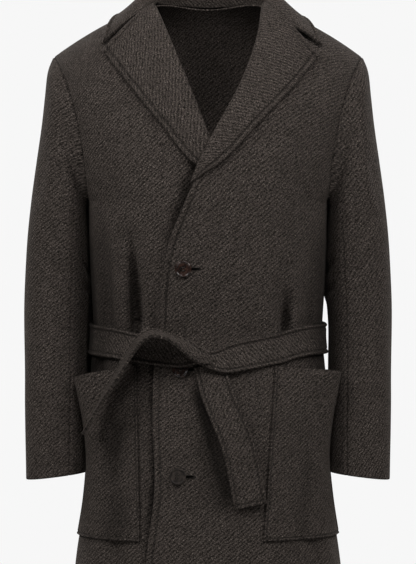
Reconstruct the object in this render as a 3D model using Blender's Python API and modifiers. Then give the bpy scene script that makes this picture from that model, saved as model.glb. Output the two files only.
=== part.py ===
"""A belted wrap coat of heavy diagonal twill, in the hollow form that it keeps when worn.

Metres, +Z up. The origin lies midway between the two neck points, where the shoulder seams
meet the neckline. +X is the wearer's left and -Y is the front.

The body is one form: rings from the hem to the armpits, and above them a dome whose top is
the shoulder line. Every panel is a patch of that form, and what lies on a panel is the same
patch moved out.
"""

import math
from collections import namedtuple

import bmesh
import bpy
import numpy as np

# Cloth and clearances
CLOTH = 0.0025
TURNED_CLOTH = 0.0042       # two layers sewn and turned out: lapels, collar and belt
SEAM_GAP = 0.0004
LAY_GAP = 0.0009            # between a panel and what lies on it
POCKET_GAP = 0.0013         # the same for the pockets, which cover more of a panel's curve

# Body
HEM_HEIGHT = -1.06
ARMPIT_HEIGHT = -0.315
ARMPIT_HALF = 0.190
SHOULDER_HALF = 0.245
SHOULDER_SET_BACK = 0.012   # the shoulder line lies this far behind the origin
NECK_HALF = 0.090
NECK_RISE = 0.018           # the shoulder line goes on rising inside the neck
NECK_DIP = math.radians(19) # the back neckline lies this far over the dome's top
SHOULDER_SLOPE = 0.30       # at the neck point
SHOULDER_ROUND = 1.45       # the slope's growth outwards, per metre
RING_POWER = 2.35           # of a ring's outline: 2 is an ellipse, more is squarer
SHOULDER_SQUARING = 1.7     # how much that power grows from the armpits to the shoulder line
DOME_SPREAD = 2.5           # power by which the half width grows above the armpit
ARMHOLE_POWER_FRONT = 1.8
ARMHOLE_POWER_BACK = 1.6
TIP_WIDENING = 2.5          # of the shoulder seam's gap, at the shoulder tips
TIP_POWER = 6               # how suddenly that gap widens towards them

Ring = namedtuple("Ring", "height half_width front back")
RINGS = (
    Ring(HEM_HEIGHT, 0.224, 0.158, 0.160),
    Ring(-0.96, 0.217, 0.155, 0.157),
    Ring(-0.87, 0.208, 0.152, 0.153),
    Ring(-0.78, 0.194, 0.148, 0.148),
    Ring(-0.72, 0.188, 0.146, 0.146),
    Ring(-0.65, 0.187, 0.142, 0.141),
    Ring(-0.60, 0.187, 0.137, 0.133),
    Ring(-0.56, 0.184, 0.130, 0.121),
    Ring(-0.53, 0.181, 0.126, 0.113),
    Ring(-0.49, 0.186, 0.131, 0.118),
    Ring(-0.44, 0.190, 0.138, 0.127),
    Ring(-0.38, 0.1905, 0.142, 0.134),
    Ring(ARMPIT_HEIGHT, ARMPIT_HALF, 0.143, 0.140),
)

# Rows of every body panel: heights up to the armpit, then even steps over the dome
ROW_HEIGHTS = (
    HEM_HEIGHT, -0.975, -0.89, -0.81, -0.735, -0.67, -0.615, -0.58,
    -0.555, -0.53, -0.505, -0.475, -0.435, -0.38, ARMPIT_HEIGHT,
)
DOME_ROWS = 8
FRONT_COLUMNS = 26
BACK_COLUMNS = 27

# Front edges, hem to neck point; above the break they are the roll lines
Edge = namedtuple("Edge", "height x")
OVER_EDGE = (
    Edge(HEM_HEIGHT, -0.100), Edge(-0.87, -0.0935), Edge(-0.76, -0.081), Edge(-0.65, -0.084),
    Edge(-0.577, -0.0825), Edge(-0.51, -0.075), Edge(-0.45, -0.0717), Edge(-0.384, -0.0604),
    Edge(-0.325, -0.0377), Edge(-0.2865, -0.0218), Edge(-0.2165, 0.007), Edge(-0.15, 0.0435),
    Edge(-0.0616, 0.0784), Edge(0.0, 0.090),
)
UNDER_EDGE = (
    Edge(HEM_HEIGHT, 0.080), Edge(-0.577, 0.080), Edge(-0.45, 0.075), Edge(-0.35, 0.060),
    Edge(-0.283, 0.035), Edge(-0.2206, 0.0066), Edge(-0.162, -0.017), Edge(-0.077, -0.0524),
    Edge(0.0, -0.090),
)

# The upper front stands off the under front where they wrap
Lift = namedtuple("Lift", "height lift")
WRAP_LIFT = (
    Lift(HEM_HEIGHT, 0.0045), Lift(-0.52, 0.0045), Lift(-0.45, 0.0045), Lift(-0.38, 0.006),
    Lift(-0.33, 0.0085), Lift(-0.28, 0.0105), Lift(-0.20, 0.0105), Lift(-0.12, 0.006), Lift(0.0, 0.0015),
)
WRAP_LIFT_FROM = 0.160
WRAP_LIFT_FULL = 0.090

# Folds: soft troughs, deepest at one height and dying out above and below it
Fold = namedtuple("Fold", "angle deepest up down depth width")
FOLDS = (
    Fold(125.0, -0.500, 0.085, 0.022, 0.020, 4.4),
    Fold(147.0, -0.495, 0.110, 0.020, 0.007, 4.5),
    Fold(53.0, -0.500, 0.060, 0.022, 0.013, 4.4),
    Fold(33.0, -0.495, 0.120, 0.020, 0.006, 4.5),
    Fold(132.0, -0.860, 0.130, 0.170, 0.008, 5.0),
    Fold(40.0, -0.930, 0.150, 0.140, 0.008, 6.0),
    Fold(207.0, -0.500, 0.100, 0.020, 0.009, 4.8),
    Fold(238.0, -0.500, 0.130, 0.020, 0.012, 4.8),
    Fold(266.0, -0.505, 0.080, 0.020, 0.008, 4.2),
    Fold(297.0, -0.500, 0.140, 0.020, 0.012, 5.0),
    Fold(331.0, -0.500, 0.090, 0.020, 0.008, 4.6),
    Fold(222.0, -0.900, 0.200, 0.200, 0.011, 7.0),
    Fold(262.0, -0.940, 0.240, 0.200, 0.013, 7.5),
    Fold(310.0, -0.890, 0.190, 0.200, 0.011, 7.0),
)

# Sleeves: where each ring's outer and inner points lie, armhole excluded, top to cuff
Station = namedtuple("Station", "outer_x outer_z inner_x inner_z mid_y half_depth")
STATIONS = (
    Station(0.2555, -0.106, 0.1955, -0.330, 0.010, 0.068),
    Station(0.2600, -0.145, 0.1955, -0.345, 0.011, 0.070),
    Station(0.2650, -0.190, 0.1950, -0.362, 0.012, 0.071),
    Station(0.2735, -0.250, 0.1950, -0.388, 0.014, 0.071),
    Station(0.2820, -0.315, 0.1945, -0.425, 0.016, 0.069),
    Station(0.2895, -0.385, 0.1945, -0.465, 0.018, 0.066),
    Station(0.2930, -0.460, 0.1945, -0.515, 0.018, 0.063),
    Station(0.2935, -0.540, 0.1945, -0.575, 0.014, 0.060),
    Station(0.2920, -0.640, 0.1945, -0.655, 0.005, 0.056),
    Station(0.2895, -0.756, 0.1945, -0.744, -0.006, 0.052),
)
SLEEVE_ROWS = 16
TOP_SLEEVE_COLUMNS = 14
UNDER_SLEEVE_COLUMNS = 8
SLEEVE_ROUNDNESS = 0.92
FRONT_SLEEVE_SEAM = math.radians(115)
BACK_SLEEVE_SEAM = math.radians(238)
SLEEVE_SEAM_TURN = math.radians(1.4)
CAP_SEAM_SHIFT = 0.0020     # from the body's armhole edge, at the shoulder
UNDERARM_SHIFT = 0.0045     # and at the armpit, where the sleeve lies beside the body
UNDERARM_POWER = 1.5        # how the shift grows down the armhole

# Lapels, break to gorge: the roll line's height and the outer edge's place
LapelRow = namedtuple("LapelRow", "roll_height edge_x edge_height")
OVER_LAPEL = (
    LapelRow(-0.2865, -0.0120, -0.2790),
    LapelRow(-0.2400, 0.0278, -0.2532),
    LapelRow(-0.1650, 0.0772, -0.1992),
    LapelRow(-0.0800, 0.1326, -0.1390),
    LapelRow(-0.0040, 0.1725, -0.0841),
)
UNDER_LAPEL = (
    LapelRow(-0.2780, 0.0200, -0.2860),
    LapelRow(-0.2350, -0.0300, -0.2520),
    LapelRow(-0.1620, -0.0745, -0.1960),
    LapelRow(-0.0770, -0.1248, -0.1327),
    LapelRow(-0.0040, -0.1640, -0.0770),
)
LAPEL_ROWS = 13
LAPEL_COLUMNS = 8
LAPEL_PUFF = 0.004          # how far the lapel's middle stands off the chest
GORGE_BOW = 0.008           # how far the gorge curves up between roll line and tip
BOW_FROM = 0.6              # share of the lapel above which its rows bow so
ROLL_TURNS = (math.radians(90), math.radians(45))
ROLL_EASE = 0.0014          # more room for the front inside the roll

# Collar, from the gorge round to the back of the neck: four points of each section, given on
# the dome by x, angle over the shoulder line in degrees, and distance off the dome
CollarRow = namedtuple(
    "CollarRow",
    "seam_x seam_turn seam_off crest_x crest_turn crest_off fall_x fall_turn fall_off"
    " edge_x edge_turn edge_off",
)
COLLAR = (
    CollarRow(0.0825, 86.0, 0.0040, 0.1142, 75.0, 0.0090, 0.1438, 67.0, 0.0088, 0.172, 61.0, 0.0056),
    CollarRow(0.0855, 91.5, 0.0048, 0.0940, 84.0, 0.0210, 0.1240, 78.0, 0.0130, 0.163, 73.0, 0.0056),
    CollarRow(0.0840, 96.0, 0.0048, 0.0800, 91.0, 0.0310, 0.1100, 89.0, 0.0185, 0.150, 87.0, 0.0056),
    CollarRow(0.0700, 100.8, 0.0046, 0.0660, 94.0, 0.0360, 0.0890, 97.0, 0.0260, 0.124, 103.0, 0.0056),
    CollarRow(0.0420, 106.3, 0.0046, 0.0390, 98.0, 0.0370, 0.0470, 105.0, 0.0300, 0.066, 114.0, 0.0056),
    CollarRow(0.0000, 109.3, 0.0046, 0.0000, 100.0, 0.0370, 0.0000, 107.0, 0.0300, 0.000, 117.0, 0.0056),
)
COLLAR_SHIFT = 0.006        # the wrap draws the collar's ends to the wearer's left
COLLAR_ROWS = 25
COLLAR_COLUMNS = 9

# Patch pockets: inner edge at mouth and foot, and the turn of the outer edge from the side
Pocket = namedtuple("Pocket", "side mouth_x foot_x mouth_inner mouth_outer foot_height")
POCKETS = {
    "pocket_left": Pocket(1, 0.1015, 0.083, -0.572, -0.590, -0.842),
    "pocket_right": Pocket(-1, 0.1085, 0.1035, -0.571, -0.596, -0.843),
}
POCKET_OUTER_TURN = math.radians(9)
POCKET_ROWS = 8
POCKET_COLUMNS = 9
MOUTH_GAPE = 0.030
GAPE_POWER = 2.4            # how fast the gape dies out below the mouth
GAPE_LEAN = 1.9             # how far its widest place lies towards the side

# Belt
BELT_WIDTH = 0.049
BELT_OUT = 0.0060           # its middle from the body's, where nothing else lies between
SIDE_BELT_HEIGHT = -0.531
BACK_BELT_HEIGHT = -0.522
BandRow = namedtuple("BandRow", "x height out width")
BAND_RIGHT = (
    BandRow(-0.150, -0.5363, 0.0066, 0.049), BandRow(-0.1085, -0.5435, 0.0100, 0.048),
    BandRow(-0.045, -0.5528, 0.0138, 0.047), BandRow(-0.012, -0.5500, 0.0130, 0.034),
    BandRow(0.012, -0.5480, 0.0128, 0.026),
)
BAND_LEFT = (
    BandRow(0.150, -0.5336, 0.0060, 0.049), BandRow(0.105, -0.5450, 0.0085, 0.050),
    BandRow(0.060, -0.5551, 0.0130, 0.049), BandRow(0.033, -0.5620, 0.0170, 0.046),
    BandRow(0.012, -0.5660, 0.0187, 0.034), BandRow(-0.022, -0.5610, 0.0205, 0.014),
)
StripRow = namedtuple("StripRow", "x y z turn width")
TAIL_OVER = (
    StripRow(0.0100, -0.1534, -0.5560, 8, 0.020), StripRow(-0.0123, -0.1552, -0.5508, 14, 0.032),
    StripRow(-0.0338, -0.1640, -0.5450, 34, 0.045), StripRow(-0.0615, -0.1695, -0.5310, 70, BELT_WIDTH),
    StripRow(-0.0892, -0.1630, -0.5216, 78, BELT_WIDTH), StripRow(-0.1090, -0.1540, -0.5340, 81, BELT_WIDTH),
    StripRow(-0.1246, -0.1470, -0.5570, 83, BELT_WIDTH), StripRow(-0.1430, -0.1440, -0.5893, 84, BELT_WIDTH),
    StripRow(-0.1660, -0.1370, -0.6262, 85, BELT_WIDTH), StripRow(-0.1938, -0.1290, -0.6785, 86, BELT_WIDTH),
)
TailRow = namedtuple("TailRow", "x height out")
TAIL_UNDER = (
    TailRow(0.0015, -0.5700, 0.0084), TailRow(0.0138, -0.6152, 0.0086),
    TailRow(0.0445, -0.6950, 0.0096), TailRow(0.0632, -0.7880, 0.0120),
)
BAND_ROWS = 19
STRIP_ROWS = 21
BELT_BACK_ROWS = 25
BELT_COLUMNS = 4

# Buttons
Button = namedtuple("Button", "x height")
BUTTONS = (Button(-0.0375, -0.4210), Button(-0.0417, -0.5757), Button(-0.0457, -0.7415))
BUTTON_RADIUS = 0.0130
BUTTON_THICK = 0.0042
BUTTON_RIM = 0.0030
BUTTON_DISH = 0.0012
BUTTON_STEPS = 20

# Finishes
TWILL = (0.040, 0.034, 0.030, 1.0)
HORN = (0.060, 0.035, 0.022, 1.0)
TWILL_ROUGHNESS = 0.9
HORN_ROUGHNESS = 0.25

NORMAL_STEP = 1e-4          # of angle and level, for finding the outward direction
MERGE_DISTANCE = 1e-5


def spline(knots, values, at):
    """Smooth curve through values at knots; values may be rows of points."""
    knots = np.asarray(knots, float)
    values = np.asarray(values, float)
    at = np.clip(np.asarray(at, float), knots[0], knots[-1])
    slopes = np.gradient(values, knots, axis=0)
    low = np.clip(np.searchsorted(knots, at, side="right") - 1, 0, len(knots) - 2)
    span = knots[low + 1] - knots[low]
    t = (at - knots[low]) / span
    shape = at.shape + (1,) * (values.ndim - 1)
    t = t.reshape(shape)
    span = span.reshape(shape)
    start = values[low] * (1 + 2 * t) * (1 - t) ** 2 + slopes[low] * span * t * (1 - t) ** 2
    end = values[low + 1] * t * t * (3 - 2 * t) + slopes[low + 1] * span * t * t * (t - 1)
    return start + end


def column(table, name):
    """One named column of a table."""
    return [getattr(row, name) for row in table]


def smoothstep(low, high, at):
    """0 below low, 1 above high, smooth between."""
    t = np.clip((at - low) / (high - low), 0.0, 1.0)
    return t * t * (3.0 - 2.0 * t)


def signed_power(base, power):
    """A power that keeps the sign of its base."""
    return np.sign(base) * np.abs(base) ** power


def shoulder_height(x):
    """Height of the shoulder line at x."""
    out = np.maximum(np.abs(x) - NECK_HALF, 0.0)
    inside = np.clip(np.abs(x) / NECK_HALF, 0.0, 1.0)
    return NECK_RISE * (1 - inside**2) - SHOULDER_SLOPE * out - SHOULDER_ROUND * out**2


def level_of(height):
    """Level of a height below the armpits: 0 at the hem, 1 at the armpits."""
    return (np.asarray(height, float) - HEM_HEIGHT) / (ARMPIT_HEIGHT - HEM_HEIGHT)


def half_width(level):
    """Half width of the form at a level; level 2 is the shoulder line."""
    heights = HEM_HEIGHT + np.minimum(level, 1.0) * (ARMPIT_HEIGHT - HEM_HEIGHT)
    below = spline(column(RINGS, "height"), column(RINGS, "half_width"), heights)
    over = np.clip(level - 1.0, 0.0, 1.0)
    return below + (SHOULDER_HALF - ARMPIT_HALF) * (1 - (1 - over) ** DOME_SPREAD)


def ring_power(level):
    """Power of a ring's outline at a level."""
    return RING_POWER + SHOULDER_SQUARING * np.clip(level - 1.0, 0.0, 1.0)


def body(angle, level):
    """Point of the form. Angle 0 is the left side, a quarter turn the front middle."""
    angle, level = np.broadcast_arrays(np.asarray(angle, float), np.asarray(level, float))
    heights = HEM_HEIGHT + np.minimum(level, 1.0) * (ARMPIT_HEIGHT - HEM_HEIGHT)
    turn = np.maximum(level - 1.0, 0.0) * math.pi / 2
    front = spline(column(RINGS, "height"), column(RINGS, "front"), heights)
    back = spline(column(RINGS, "height"), column(RINGS, "back"), heights)
    power = ring_power(level)
    reach = (np.abs(np.cos(angle)) ** power + np.abs(np.sin(angle)) ** power) ** (-1 / power)
    along = reach * np.sin(angle)
    x = half_width(level) * reach * np.cos(angle)
    depth = np.where(along > 0, front, back) * np.cos(turn)
    y = SHOULDER_SET_BACK * np.sin(turn) - depth * along
    dome = ARMPIT_HEIGHT + (shoulder_height(x) - ARMPIT_HEIGHT) * np.sin(turn)
    z = np.where(level > 1.0, dome, heights)
    return np.stack([x, y, z], axis=-1)


def unit(vectors):
    """Vectors scaled to length 1."""
    return vectors / np.linalg.norm(vectors, axis=-1, keepdims=True)


def body_normal(angle, level):
    """Outward direction of the form."""
    level = np.minimum(level, 2.0 - 2 * NORMAL_STEP)
    around = body(angle + NORMAL_STEP, level) - body(angle - NORMAL_STEP, level)
    upward = body(angle, level + NORMAL_STEP) - body(angle, level - NORMAL_STEP)
    return unit(np.cross(upward, around))


def on_body(angle, level, out):
    """Point of the form, moved outwards."""
    return body(angle, level) + np.asarray(out, float)[..., None] * body_normal(angle, level)


def front_level(x, height):
    """Level of a front point given by x and height."""
    rise = (height - ARMPIT_HEIGHT) / (shoulder_height(x) - ARMPIT_HEIGHT)
    dome = 1.0 + np.arcsin(np.clip(rise, 0.0, 1.0)) * 2 / math.pi
    return np.where(height > ARMPIT_HEIGHT, dome, level_of(height))


def front_angle(x, level):
    """Angle of a front point given by x and level."""
    power = ring_power(level)
    aside = np.clip(x / half_width(level), -1.0, 1.0)
    return np.arctan2((1 - np.abs(aside) ** power) ** (1 / power), aside)


def front_place(x, height):
    """Angle and level of a front point given by x and height."""
    level = front_level(x, height)
    return front_angle(x, level), level


def on_dome(x, turn, out):
    """Point off the dome at x; turn goes over it from front armpit level to back."""
    behind = turn > math.pi / 2
    level = 1.0 + np.where(behind, math.pi - turn, turn) * 2 / math.pi
    angle = front_angle(x, level)
    return on_body(np.where(behind, 2 * math.pi - angle, angle), level, out)


def fold_depth(angle, height):
    """How far the folds press the cloth in, as a negative distance outwards."""
    total = np.zeros_like(height)
    for fold in FOLDS:
        aside = (np.degrees(angle) - fold.angle) / fold.width
        above = height - fold.deepest
        reach = np.where(above > 0, fold.up, fold.down)
        total -= fold.depth * np.exp(-(aside**2) - (above / reach) ** 2)
    return total


def wrap_lift(x, height):
    """How far the upper front stands off the form."""
    full = spline(column(WRAP_LIFT, "height"), column(WRAP_LIFT, "lift"), height)
    return full * smoothstep(-WRAP_LIFT_FROM, -WRAP_LIFT_FULL, -x)


def panel_levels():
    """Levels of a panel's rows along the side seam and armhole, and the dome's share."""
    rises = np.sin(np.linspace(0, math.pi / 2, DOME_ROWS + 1)[1:])
    low = level_of(ROW_HEIGHTS)
    high = 1.0 + np.arcsin(rises) * 2 / math.pi
    return np.concatenate([low, high]), np.concatenate([np.zeros(len(low)), rises])


def armhole_x(rise, power):
    """Half distance between the armholes, at a share of their height."""
    return ARMPIT_HALF + (SHOULDER_HALF - ARMPIT_HALF) * rise**power


def side_angles(levels, rises, power):
    """Angle from the side at which a panel stops: the side seam, then the armhole."""
    seam = SEAM_GAP / (2 * half_width(levels))
    cut = front_angle(armhole_x(rises, power), levels)
    return np.where(rises > 0, np.maximum(cut, seam), seam)


def across(first, last, columns):
    """Rows of values running evenly from first to last."""
    share = np.linspace(0.0, 1.0, columns)
    return first[:, None] + (last - first)[:, None] * share


def shoulder_gap(x):
    """Half the gap of the shoulder seam, wider at the tips where the walls turn sharply."""
    return SEAM_GAP * (1 + TIP_WIDENING * (np.abs(x) / SHOULDER_HALF) ** TIP_POWER)


def front_grid(edge_table, side):
    """Angles and levels of a front, from its side seam to its front edge."""
    levels, rises = panel_levels()
    angles = side_angles(levels, rises, ARMHOLE_POWER_FRONT)
    if side < 0:
        angles = math.pi - angles
    heights = np.where(rises > 0, ARMPIT_HEIGHT * (1 - rises), HEM_HEIGHT)
    heights[: len(ROW_HEIGHTS)] = ROW_HEIGHTS
    edge_x = spline(column(edge_table, "height"), column(edge_table, "x"), heights)
    edge_angles, edge_levels = front_place(edge_x, heights)
    level_grid = across(levels, edge_levels, FRONT_COLUMNS)
    top = 2.0 - SEAM_GAP
    return across(angles, edge_angles, FRONT_COLUMNS), np.minimum(level_grid, top)


def front_points(edge_table, side, lifted):
    """Middle surface of a front."""
    angles, levels = front_grid(edge_table, side)
    plain = body(angles, levels)
    out = fold_depth(angles, plain[..., 2])
    if lifted:
        out = out + wrap_lift(plain[..., 0], plain[..., 2])
    points = on_body(angles, levels, out)
    points[-1, :, 1] -= shoulder_gap(points[-1, :, 0])
    return points


def back_points():
    """Middle surface of the back."""
    levels, rises = panel_levels()
    angles = side_angles(levels, rises, ARMHOLE_POWER_BACK)
    angle_grid = across(math.pi + angles, 2 * math.pi - angles, BACK_COLUMNS)
    level_grid = np.repeat(levels[:, None], BACK_COLUMNS, axis=1)
    x = body(angle_grid, level_grid)[..., 0]
    dip = NECK_DIP * (1 - np.clip(np.abs(x) / NECK_HALF, 0, 1) ** 2) * 2 / math.pi
    level_grid = level_grid - dip * rises[:, None] ** 2
    plain = body(angle_grid, level_grid)
    points = on_body(angle_grid, level_grid, fold_depth(angle_grid, plain[..., 2]))
    points[-1, :, 1] += shoulder_gap(points[-1, :, 0])
    return points


def armhole_ring(turns):
    """First ring of a left sleeve, just outside the body's armhole edge."""
    rise = (1 + np.cos(turns)) / 2
    level = 1.0 + np.arcsin(rise) * 2 / math.pi
    front = np.sin(turns) >= 0
    x = np.where(front, armhole_x(rise, ARMHOLE_POWER_FRONT), armhole_x(rise, ARMHOLE_POWER_BACK))
    angle = front_angle(x, level)
    points = body(np.where(front, angle, 2 * math.pi - angle), level)
    points[:, 0] += CAP_SEAM_SHIFT + (UNDERARM_SHIFT - CAP_SEAM_SHIFT) * (1 - rise) ** UNDERARM_POWER
    return points


def sleeve_points(turns, side):
    """Middle surface of part of a sleeve, armhole to cuff, between the given turns."""
    rings = [armhole_ring(turns)]
    for row in STATIONS:
        share = signed_power(np.cos(turns), SLEEVE_ROUNDNESS)
        x = (row.outer_x + row.inner_x) / 2 + share * (row.outer_x - row.inner_x) / 2
        z = (row.outer_z + row.inner_z) / 2 + share * (row.outer_z - row.inner_z) / 2
        y = row.mid_y - row.half_depth * signed_power(np.sin(turns), SLEEVE_ROUNDNESS)
        rings.append(np.stack([x, y, z], axis=-1))
    knots = np.arange(len(rings))
    points = spline(knots, rings, np.linspace(0, knots[-1], SLEEVE_ROWS))
    return points * np.array([side, 1, 1])


def lapel_points(table, edge_table, lifted):
    """Middle surface of a lapel, which curls round the front's roll edge and lies back."""
    share = np.linspace(0, 1, len(table))
    at = np.linspace(0, 1, LAPEL_ROWS)
    roll_z = spline(share, column(table, "roll_height"), at)[:, None]
    roll_x = spline(column(edge_table, "height"), column(edge_table, "x"), roll_z)
    edge_x = spline(share, column(table, "edge_x"), at)[:, None]
    edge_z = spline(share, column(table, "edge_height"), at)[:, None]
    u = np.linspace(0, 1, LAPEL_COLUMNS)[None, :]
    x = roll_x + (edge_x - roll_x) * u
    bow = GORGE_BOW * smoothstep(BOW_FROM, 1.0, at)[:, None]
    z = roll_z + (edge_z - roll_z) * u + bow * 4 * u * (1 - u)
    angles, levels = front_place(x, z)
    roll_radius = CLOTH / 2 + LAY_GAP + ROLL_EASE + TURNED_CLOTH / 2
    puff = LAPEL_PUFF * at[:, None] * np.sin(math.pi * u)
    out = roll_radius + puff + (wrap_lift(x, z) if lifted else 0.0)
    flat = on_body(angles, levels, out)
    normal = body_normal(angles[:, 0], levels[:, 0])
    inward = unit(flat[:, 0] - flat[:, 1])
    curl = [
        flat[:, 0] + inward * roll_radius * math.sin(turn) - normal * roll_radius * (1 - math.cos(turn))
        for turn in ROLL_TURNS
    ]
    return np.concatenate([np.stack(curl, axis=1), flat], axis=1)


def through_four(points, t):
    """Cubic through four points at even steps of t from 0 to 1."""
    seam, crest, fall, edge = points
    return (
        seam * (1 - t) * (1 - 1.5 * t) * (1 - 3 * t)
        + crest * 9 * t * (1 - t) * (1 - 1.5 * t)
        + fall * 4.5 * t * (1 - t) * (3 * t - 1)
        + edge * t * (1.5 * t - 1) * (3 * t - 1)
    )


def collar_points():
    """Middle surface of the collar: cubic sections through four points, round the neck."""
    half = COLLAR + COLLAR[-2::-1]
    sides = [-1] * (len(COLLAR) - 1) + [0] + [1] * (len(COLLAR) - 1)
    at = np.linspace(0, 1, COLLAR_ROWS)
    share = np.linspace(0, 1, len(half))
    controls = []
    for name in ("seam", "crest", "fall", "edge"):
        x = np.array([getattr(row, name + "_x") * side for row, side in zip(half, sides)])
        x = x + COLLAR_SHIFT * np.abs(np.linspace(-1, 1, len(half)))
        turn = np.radians(column(half, name + "_turn"))
        points = on_dome(x, turn, np.array(column(half, name + "_off")))
        controls.append(spline(share, points, at)[:, None, :])
    t = np.linspace(0, 1, COLLAR_COLUMNS)[None, :, None]
    return through_four(controls, t)


def pocket_points(pocket):
    """Middle surface of a patch pocket, whose mouth gapes towards the side."""
    q = np.linspace(0, 1, POCKET_COLUMNS)[None, :]
    r = np.linspace(0, 1, POCKET_ROWS)[:, None]
    mouth = pocket.mouth_inner + (pocket.mouth_outer - pocket.mouth_inner) * q
    height = pocket.foot_height + (mouth - pocket.foot_height) * r
    level = level_of(height)
    inner_x = pocket.foot_x + (pocket.mouth_x - pocket.foot_x) * r + 0 * q
    inner = front_angle(inner_x, level)
    angle = inner + (POCKET_OUTER_TURN - inner) * q
    if pocket.side < 0:
        angle = math.pi - angle
    gape = MOUTH_GAPE * np.sin(math.pi * q**GAPE_LEAN) * r**GAPE_POWER
    x = body(angle, level)[..., 0]
    lift = wrap_lift(x, height) if pocket.side > 0 else 0.0
    return on_body(angle, level, CLOTH + POCKET_GAP + gape + lift)


def band_grid(angle, height, out, width):
    """A belt stretch on the body: rows along it, columns across it."""
    rise = np.linspace(-0.5, 0.5, BELT_COLUMNS)[None, :] * width[:, None]
    return on_body(angle[:, None] + 0 * rise, level_of(height[:, None] + rise), out[:, None] + 0 * rise)


def front_band_points(table, side):
    """A belt stretch from the side of the body to the crossing."""
    at = np.linspace(0, 1, BAND_ROWS)
    side_x = body(SEAM_GAP / ARMPIT_HALF, level_of(SIDE_BELT_HEIGHT))[0] * side
    x_rows = np.array([side_x] + column(table, "x"))
    height_rows = np.array([SIDE_BELT_HEIGHT] + column(table, "height"))
    angle_rows = front_angle(x_rows, level_of(height_rows))
    share = np.linspace(0, 1, len(x_rows))
    angle = spline(share, angle_rows, at)
    height = spline(share, height_rows, at)
    out = spline(share, [BELT_OUT] + column(table, "out"), at)
    width = spline(share, [BELT_WIDTH] + column(table, "width"), at)
    return band_grid(angle, height, out, width)


def back_band_points():
    """The belt round the back, from side to side."""
    angle = np.linspace(math.pi, 2 * math.pi, BELT_BACK_ROWS)
    angle[0] += SEAM_GAP / ARMPIT_HALF
    angle[-1] -= SEAM_GAP / ARMPIT_HALF
    height = SIDE_BELT_HEIGHT - (BACK_BELT_HEIGHT - SIDE_BELT_HEIGHT) * np.sin(angle)
    return band_grid(angle, height, np.full_like(angle, BELT_OUT), np.full_like(angle, BELT_WIDTH))


def strip_points(table):
    """A belt end through free rows; its width turns from upright towards the depth."""
    share = np.linspace(0, 1, len(table))
    at = np.linspace(0, 1, STRIP_ROWS)
    path = spline(share, [(row.x, row.y, row.z) for row in table], at)
    turn = np.radians(spline(share, column(table, "turn"), at))[:, None]
    width = spline(share, column(table, "width"), at)
    along = unit(np.gradient(path, axis=0))
    upright = unit(np.stack([along[:, 2], 0 * along[:, 1], -along[:, 0]], axis=-1))
    depth = unit(np.cross(upright, along))
    depth = depth * np.sign(depth[:, 1:2])
    aside = upright * np.cos(turn) + depth * np.sin(turn)
    step = np.linspace(-0.5, 0.5, BELT_COLUMNS)[None, :] * width[:, None]
    return path[:, None, :] + step[..., None] * aside[:, None, :]


def tail_under_points():
    """The belt end that hangs down the front from under the crossing."""
    share = np.linspace(0, 1, len(TAIL_UNDER))
    at = np.linspace(0, 1, BAND_ROWS)
    x = spline(share, column(TAIL_UNDER, "x"), at)
    z = spline(share, column(TAIL_UNDER, "height"), at)
    out = spline(share, column(TAIL_UNDER, "out"), at)
    along = unit(np.stack([np.gradient(x), np.gradient(z)], axis=-1))
    step = np.linspace(-0.5, 0.5, BELT_COLUMNS)[None, :] * BELT_WIDTH
    wide_x = x[:, None] - along[:, 1:2] * step
    wide_z = z[:, None] + along[:, 0:1] * step
    angle, level = front_place(wide_x, wide_z)
    return on_body(angle, level, out[:, None] + 0 * step)


def material(name, colour, roughness):
    """A plain finish of one colour."""
    made = bpy.data.materials.new(name)
    made.use_nodes = True
    shader = made.node_tree.nodes["Principled BSDF"]
    shader.inputs["Base Color"].default_value = colour
    shader.inputs["Roughness"].default_value = roughness
    shader.inputs["Metallic"].default_value = 0.0
    return made


def add_object(name, mesh, collection, finish):
    """Put a mesh into the coat as a named sub-part."""
    mesh.materials.append(finish)
    mesh.shade_smooth()
    sub_part = bpy.data.objects.new(name, mesh)
    collection.objects.link(sub_part)
    return sub_part


def cloth(name, points, thickness, collection):
    """A cloth piece: a grid laid on the given points, with an even wall about it."""
    rows, columns = points.shape[:2]
    grid = bmesh.new()
    bmesh.ops.create_grid(grid, x_segments=columns - 1, y_segments=rows - 1, size=1.0)
    grid.verts.ensure_lookup_table()
    for vertex, place in zip(grid.verts, points.reshape(-1, 3)):
        vertex.co = place
    mesh = bpy.data.meshes.new(name)
    grid.to_mesh(mesh)
    grid.free()
    piece = add_object(name, mesh, collection, material(name + "_cloth", TWILL, TWILL_ROUGHNESS))
    wall = piece.modifiers.new("Wall", "SOLIDIFY")
    wall.thickness = thickness
    wall.offset = 0.0
    return piece


def button_profile():
    """Half section of a dished button, from its top middle down round its rim."""
    rim = BUTTON_RADIUS - BUTTON_RIM
    edge = BUTTON_THICK / 4
    return (
        (0.0, BUTTON_THICK - BUTTON_DISH), (rim, BUTTON_THICK - BUTTON_DISH),
        (rim + BUTTON_RIM / 2, BUTTON_THICK), (BUTTON_RADIUS - edge / 2, BUTTON_THICK - edge / 2),
        (BUTTON_RADIUS, BUTTON_THICK / 2), (BUTTON_RADIUS - edge, 0.0), (0.0, 0.0),
    )


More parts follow.
